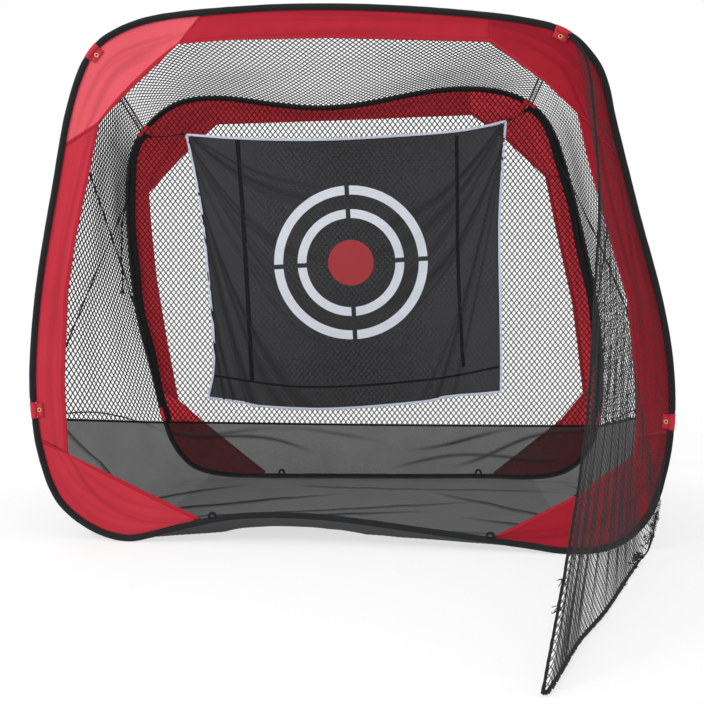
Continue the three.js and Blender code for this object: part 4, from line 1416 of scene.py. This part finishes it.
class Flap:
    """Part of the barrier. Rows run from its first edge to its second, and flat points keep their distance
    from the first."""

    BUNCH = 0.0022                               # how far its cords are bunched sideways
    BUNCHES = ((0.6, 62, 7), (0.4, 151, 19))     # strength, waves across and slant
    FADE = 0.03                                  # over this distance from its edges

    def __init__(self, first, second):
        self.first = resample(first, WING_ROWS)
        self.second = resample(second, WING_ROWS)
        self.width = np.linalg.norm(self.first - self.second, axis=1)
        self.length = float(lengths(self.first)[-1])

    def row(self, v):
        """The fractional index of the row at a share of the way down."""
        return np.clip(v, 0, 1) * (WING_ROWS - 1)

    def width_at(self, v):
        return np.interp(self.row(v), np.arange(WING_ROWS), self.width)

    def inside(self, x, y):
        v = np.asarray(y) / self.length
        return (v >= 0) & (v <= 1) & (x >= 0) & (x <= self.width_at(v))

    def bunched(self, x, v):
        """The share of the way across at a distance from the first edge, and how freely it moves there."""
        width = np.maximum(self.width_at(v), 1e-6)
        free = np.clip(np.minimum(x, width - x) / self.FADE, 0, 1)
        shift = sum(strength * np.sin(x * across + slant * v) for strength, across, slant in self.BUNCHES)
        return np.clip((x + self.BUNCH * shift * free) / width, 0, 1)[..., None], free

    def point(self, x, y):
        """The place of a flat point: x from the first edge and y down it."""
        v = np.asarray(y) / self.length
        u, _ = self.bunched(x, v)
        spot = rows_at(self.first, self.row(v)) * (1 - u) + rows_at(self.second, self.row(v)) * u
        spot[..., 2] = np.maximum(spot[..., 2], WING_LOWEST)
        return spot


class LooseFlap(Flap):
    """The part that hangs free. Its rows are level at the top and run along the ground edge at the foot."""

    BUNCHES = ((0.6, 40, 5), (0.4, 97, 11))
    FADE = 0.05
    BELLY = 0.0018                               # how far its cloth waves in and out

    def __init__(self, free, hinge, ground):
        super().__init__(free, hinge)
        self.ground = resample(ground[::-1], WING_ROWS)
        share = np.linspace(0, 1, WING_ROWS) ** 6
        self.width = self.width * (1 - share) + float(lengths(self.ground)[-1]) * share

    def point(self, x, y):
        v = np.asarray(y) / self.length
        u, free = self.bunched(x, v)
        straight = rows_at(self.first, self.row(v)) * (1 - u) + rows_at(self.second, self.row(v)) * u
        bow = rows_at(self.ground, self.row(u[..., 0])) - self.ground[0] * (1 - u) - self.ground[-1] * u
        spot = straight + bow * (np.clip(v, 0, 1) ** 4)[..., None]
        wave = np.sin(x * 34 + 9 * v) + 0.5 * np.sin(x * 71 - 14 * v)
        spot[..., 0] += self.BELLY * free * np.clip((1.02 - v) * 6, 0, 1) * wave
        spot[..., 2] = np.maximum(spot[..., 2], WING_LOWEST)
        return spot


def bundle(path, radius, strands, turns, seed, taper=1.0):
    """Several cords laid round each other along a path: a gathered edge or a bound hem."""
    rng = np.random.default_rng(seed)
    tangent = unit(np.gradient(path, axis=0))
    start = np.array([1.0, 0.0, 0.0])
    side = unit(start - tangent * (tangent @ start)[:, None])
    other = np.cross(tangent, side)
    s = np.linspace(0, 1, len(path))
    size = radius * (1 + (taper - 1) * s)
    parts = []
    for k in range(strands):
        phase = 2 * np.pi * k / strands + rng.uniform(0, 0.8)
        wander = 1 + 0.35 * waves(s * 3, s * 0, seed + k, 0.2)
        angle = phase + 2 * np.pi * turns * s + 0.6 * waves(s * 3, s * 0, seed + 50 + k, 0.3)
        off = size * 0.55 * wander
        line = path + side * (np.cos(angle) * off)[:, None] + other * (np.sin(angle) * off)[:, None]
        parts.append(sweep(line, circle(1.0, 6), scale=size * 0.52))
    return join_parts(parts)


def tuft_part(place, size, seed, count=9):
    """Loose ends of cut netting."""
    rng = np.random.default_rng(seed)
    parts = []
    for _ in range(count):
        way = unit(rng.normal(size=3) * [1, 1, 0.6])
        bend = unit(rng.normal(size=3))
        reach = size * rng.uniform(0.5, 1.0)
        t = np.linspace(0, 1, 7)[:, None]
        line = np.asarray(place) + way * reach * t + bend * reach * 0.5 * np.sin(np.pi * t)
        line[:, 2] = np.maximum(line[:, 2], 0.003)
        parts.append(sweep(line, circle(0.0012, 5)))
    return parts


def make_barrier_nets(held, loose, tab):
    """The net sewn over the border, which stays with the hoop, and the one that hangs free."""

    def clear_of_tab(x, y):
        """The held net is cut away round the lower right tab, which stays in front of it."""
        spot = held.point(x, y) - tab
        return held.inside(x, y) & ((np.abs(spot[..., 2]) > 0.036) | (np.abs(spot[..., 0]) > 0.034))

    def held_radius(points):
        return np.full(len(points), HELD_CORD_RADIUS)

    def loose_radius(points):
        return np.interp(points[:, 2], *LOOSE_CORD_RADII)

    for name, body, flap, inside, mesh, radius_at in (
            ("held", "front_frame", held, clear_of_tab, HELD_MESH, held_radius),
            ("loose", "side_barrier", loose, loose.inside, LOOSE_MESH, loose_radius)):
        lines = net_strings(inside, flap.point, (0, float(flap.width.max())), (0, flap.length), *mesh)
        net = strings_object(f"side_barrier_{name}_net", lines, WING_NORMAL, "net_black", body, radius_at)
        if name == "loose":
            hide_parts("side_barrier_net")


def make_barrier_edges(ground, loose):
    """The gathered front edge, the hem on the ground and the fold inside the net, with their loose ends."""
    upper = smooth_line(WING_FRONT_EDGE, 420)
    parts = [bundle(upper, 0.0048, 5, 26, 71, taper=0.9)]
    for k, (share, size) in enumerate(EDGE_TUFTS):
        parts += tuft_part(upper[int(share * 419)], size, 80 + k)
    edge = new_object("side_barrier_gathered_edge", *join_parts(parts), "cord_black", "side_barrier")
    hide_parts("side_barrier_front_edge")
    parts = [bundle(ground, np.interp(np.linspace(0, 1, 320), *HEM_RADII), 4, 30, 73)]
    rng = np.random.default_rng(77)
    for k in range(34):
        share = rng.uniform(0.0, 0.17)
        inset = np.array([-rng.uniform(0.0, 0.030), 0.0, rng.uniform(0.0, 0.014)]) * min(1.0, share * 14)
        parts += tuft_part(ground[int(share * 319)] + inset, 0.016, 120 + k, 6)
    for k, share in enumerate(HEM_TUFTS):
        parts += tuft_part(ground[int(share * 319)], 0.014, 90 + k, 14)
    hem = new_object("side_barrier_ground_hem", *join_parts(parts), "cord_black", "side_barrier")
    v = np.linspace(0.10, 0.42, 160)
    fold = loose.point(0.055 - 0.03 * np.abs(v - 0.26) / 0.16, v * loose.length)
    verts, faces = bundle(fold, 0.0022, 3, 9, 75)
    inner = new_object("side_barrier_inner_fold", verts, faces, "net_black", "side_barrier")


def make_barrier():
    hoop = hoops["front"]
    top = TAB_AT["front", "upper_right"] + 0.02 / hoop.length
    foot = hoop.nearest([1.135, 0, 0.185])[0]
    sewn = hoop.arc(top, foot, WING_ROWS, 0.006)
    sewn[:, 1] -= SLEEVE_RADIUS + 0.003
    hinge = resample(np.array(WING_HINGE), WING_ROWS)
    ground = smooth_line((*WING_GROUND_EDGE, WING_FRONT_EDGE[-1]), 320)
    ground[:, 2] = np.maximum(ground[:, 2], 0.0065)
    beside_hinge = hinge + unit(np.array([-0.35, -1.0, 0.0])) * 0.006
    loose = LooseFlap(smooth_line(WING_FRONT_EDGE, WING_ROWS), beside_hinge, ground)
    lower_tab = TAB_AT["front", "lower_right"]
    tab = hoop.at(lower_tab) + hoop.inwards(lower_tab) * 0.010
    make_barrier_nets(Flap(sewn, hinge), loose, tab)
    make_barrier_edges(ground, loose)
    for name, part in (("upper", sewn[:, 2] > tab[2] + TAB_GAP), ("lower", sewn[:, 2] < tab[2] - TAB_GAP)):
        line = sewn[part] + FORWARD * 0.001
        tape_along(f"side_barrier_{name}_sewn_edge", line, FORWARD, 0.010, "front_frame", 0.003)


make_barrier()

# ---------------------------------------------------------------- peg loops, rods and ferrules


def make_peg_loop(side, name):
    """A loop of webbing sewn to the sleeve, standing open for a peg."""
    node = f"{side}_{name}_peg_loop"
    low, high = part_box(node)
    x, y = (low.x + high.x) / 2, (low.y + high.y) / 2
    wide, foot, top = (high.x - low.x) / 2 - 0.004, low.z - 0.006, low.z + 0.013
    t = np.linspace(-0.12 * np.pi, 1.12 * np.pi, 40)
    path = np.stack([
        x + np.sign(np.cos(t)) * wide * np.abs(np.cos(t)) ** 0.8, np.full(40, y),
        foot + (top - foot) * (0.35 + 0.65 * np.sin(t)),
    ], axis=1)
    verts, faces = sweep(path, rounded_strip(0.014, 0.010), side=np.repeat([[0.0, 1.0, 0.0]], 40, 0))
    loop = new_object(f"{node}_webbing", verts, faces, "webbing_black", HOOPS[side])
    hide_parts(node)


for hoop_side in HOOPS:
    for loop_side in ("left", "right"):
        make_peg_loop(hoop_side, loop_side)
    for hidden_part in ("rod", "ferrule"):
        metal_node = frame["nodes"][f"{hoop_side}_hoop_{hidden_part}"]
        for material_slot in metal_node.material_slots:
            material_slot.material = MATERIALS["steel"]

# ---------------------------------------------------------------- light through the rear border


def light_rear_border():
    """A lamp that lights only the rear border stands in for the daylight that comes through its thin cloth."""
    lamp = area_light("rear_border_light", *REAR_BORDER_LIGHT)
    lit = bpy.data.collections.new("rear_border")
    for obj in bpy.context.scene.objects:
        if obj.name.startswith("rear_") and obj.name.endswith(("_panel", "_hem", "_seam", "_wrap")):
            lit.objects.link(obj)
    lamp.light_linking.receiver_collection = lit
    lamp.light_linking.blocker_collection = lit


light_rear_border()
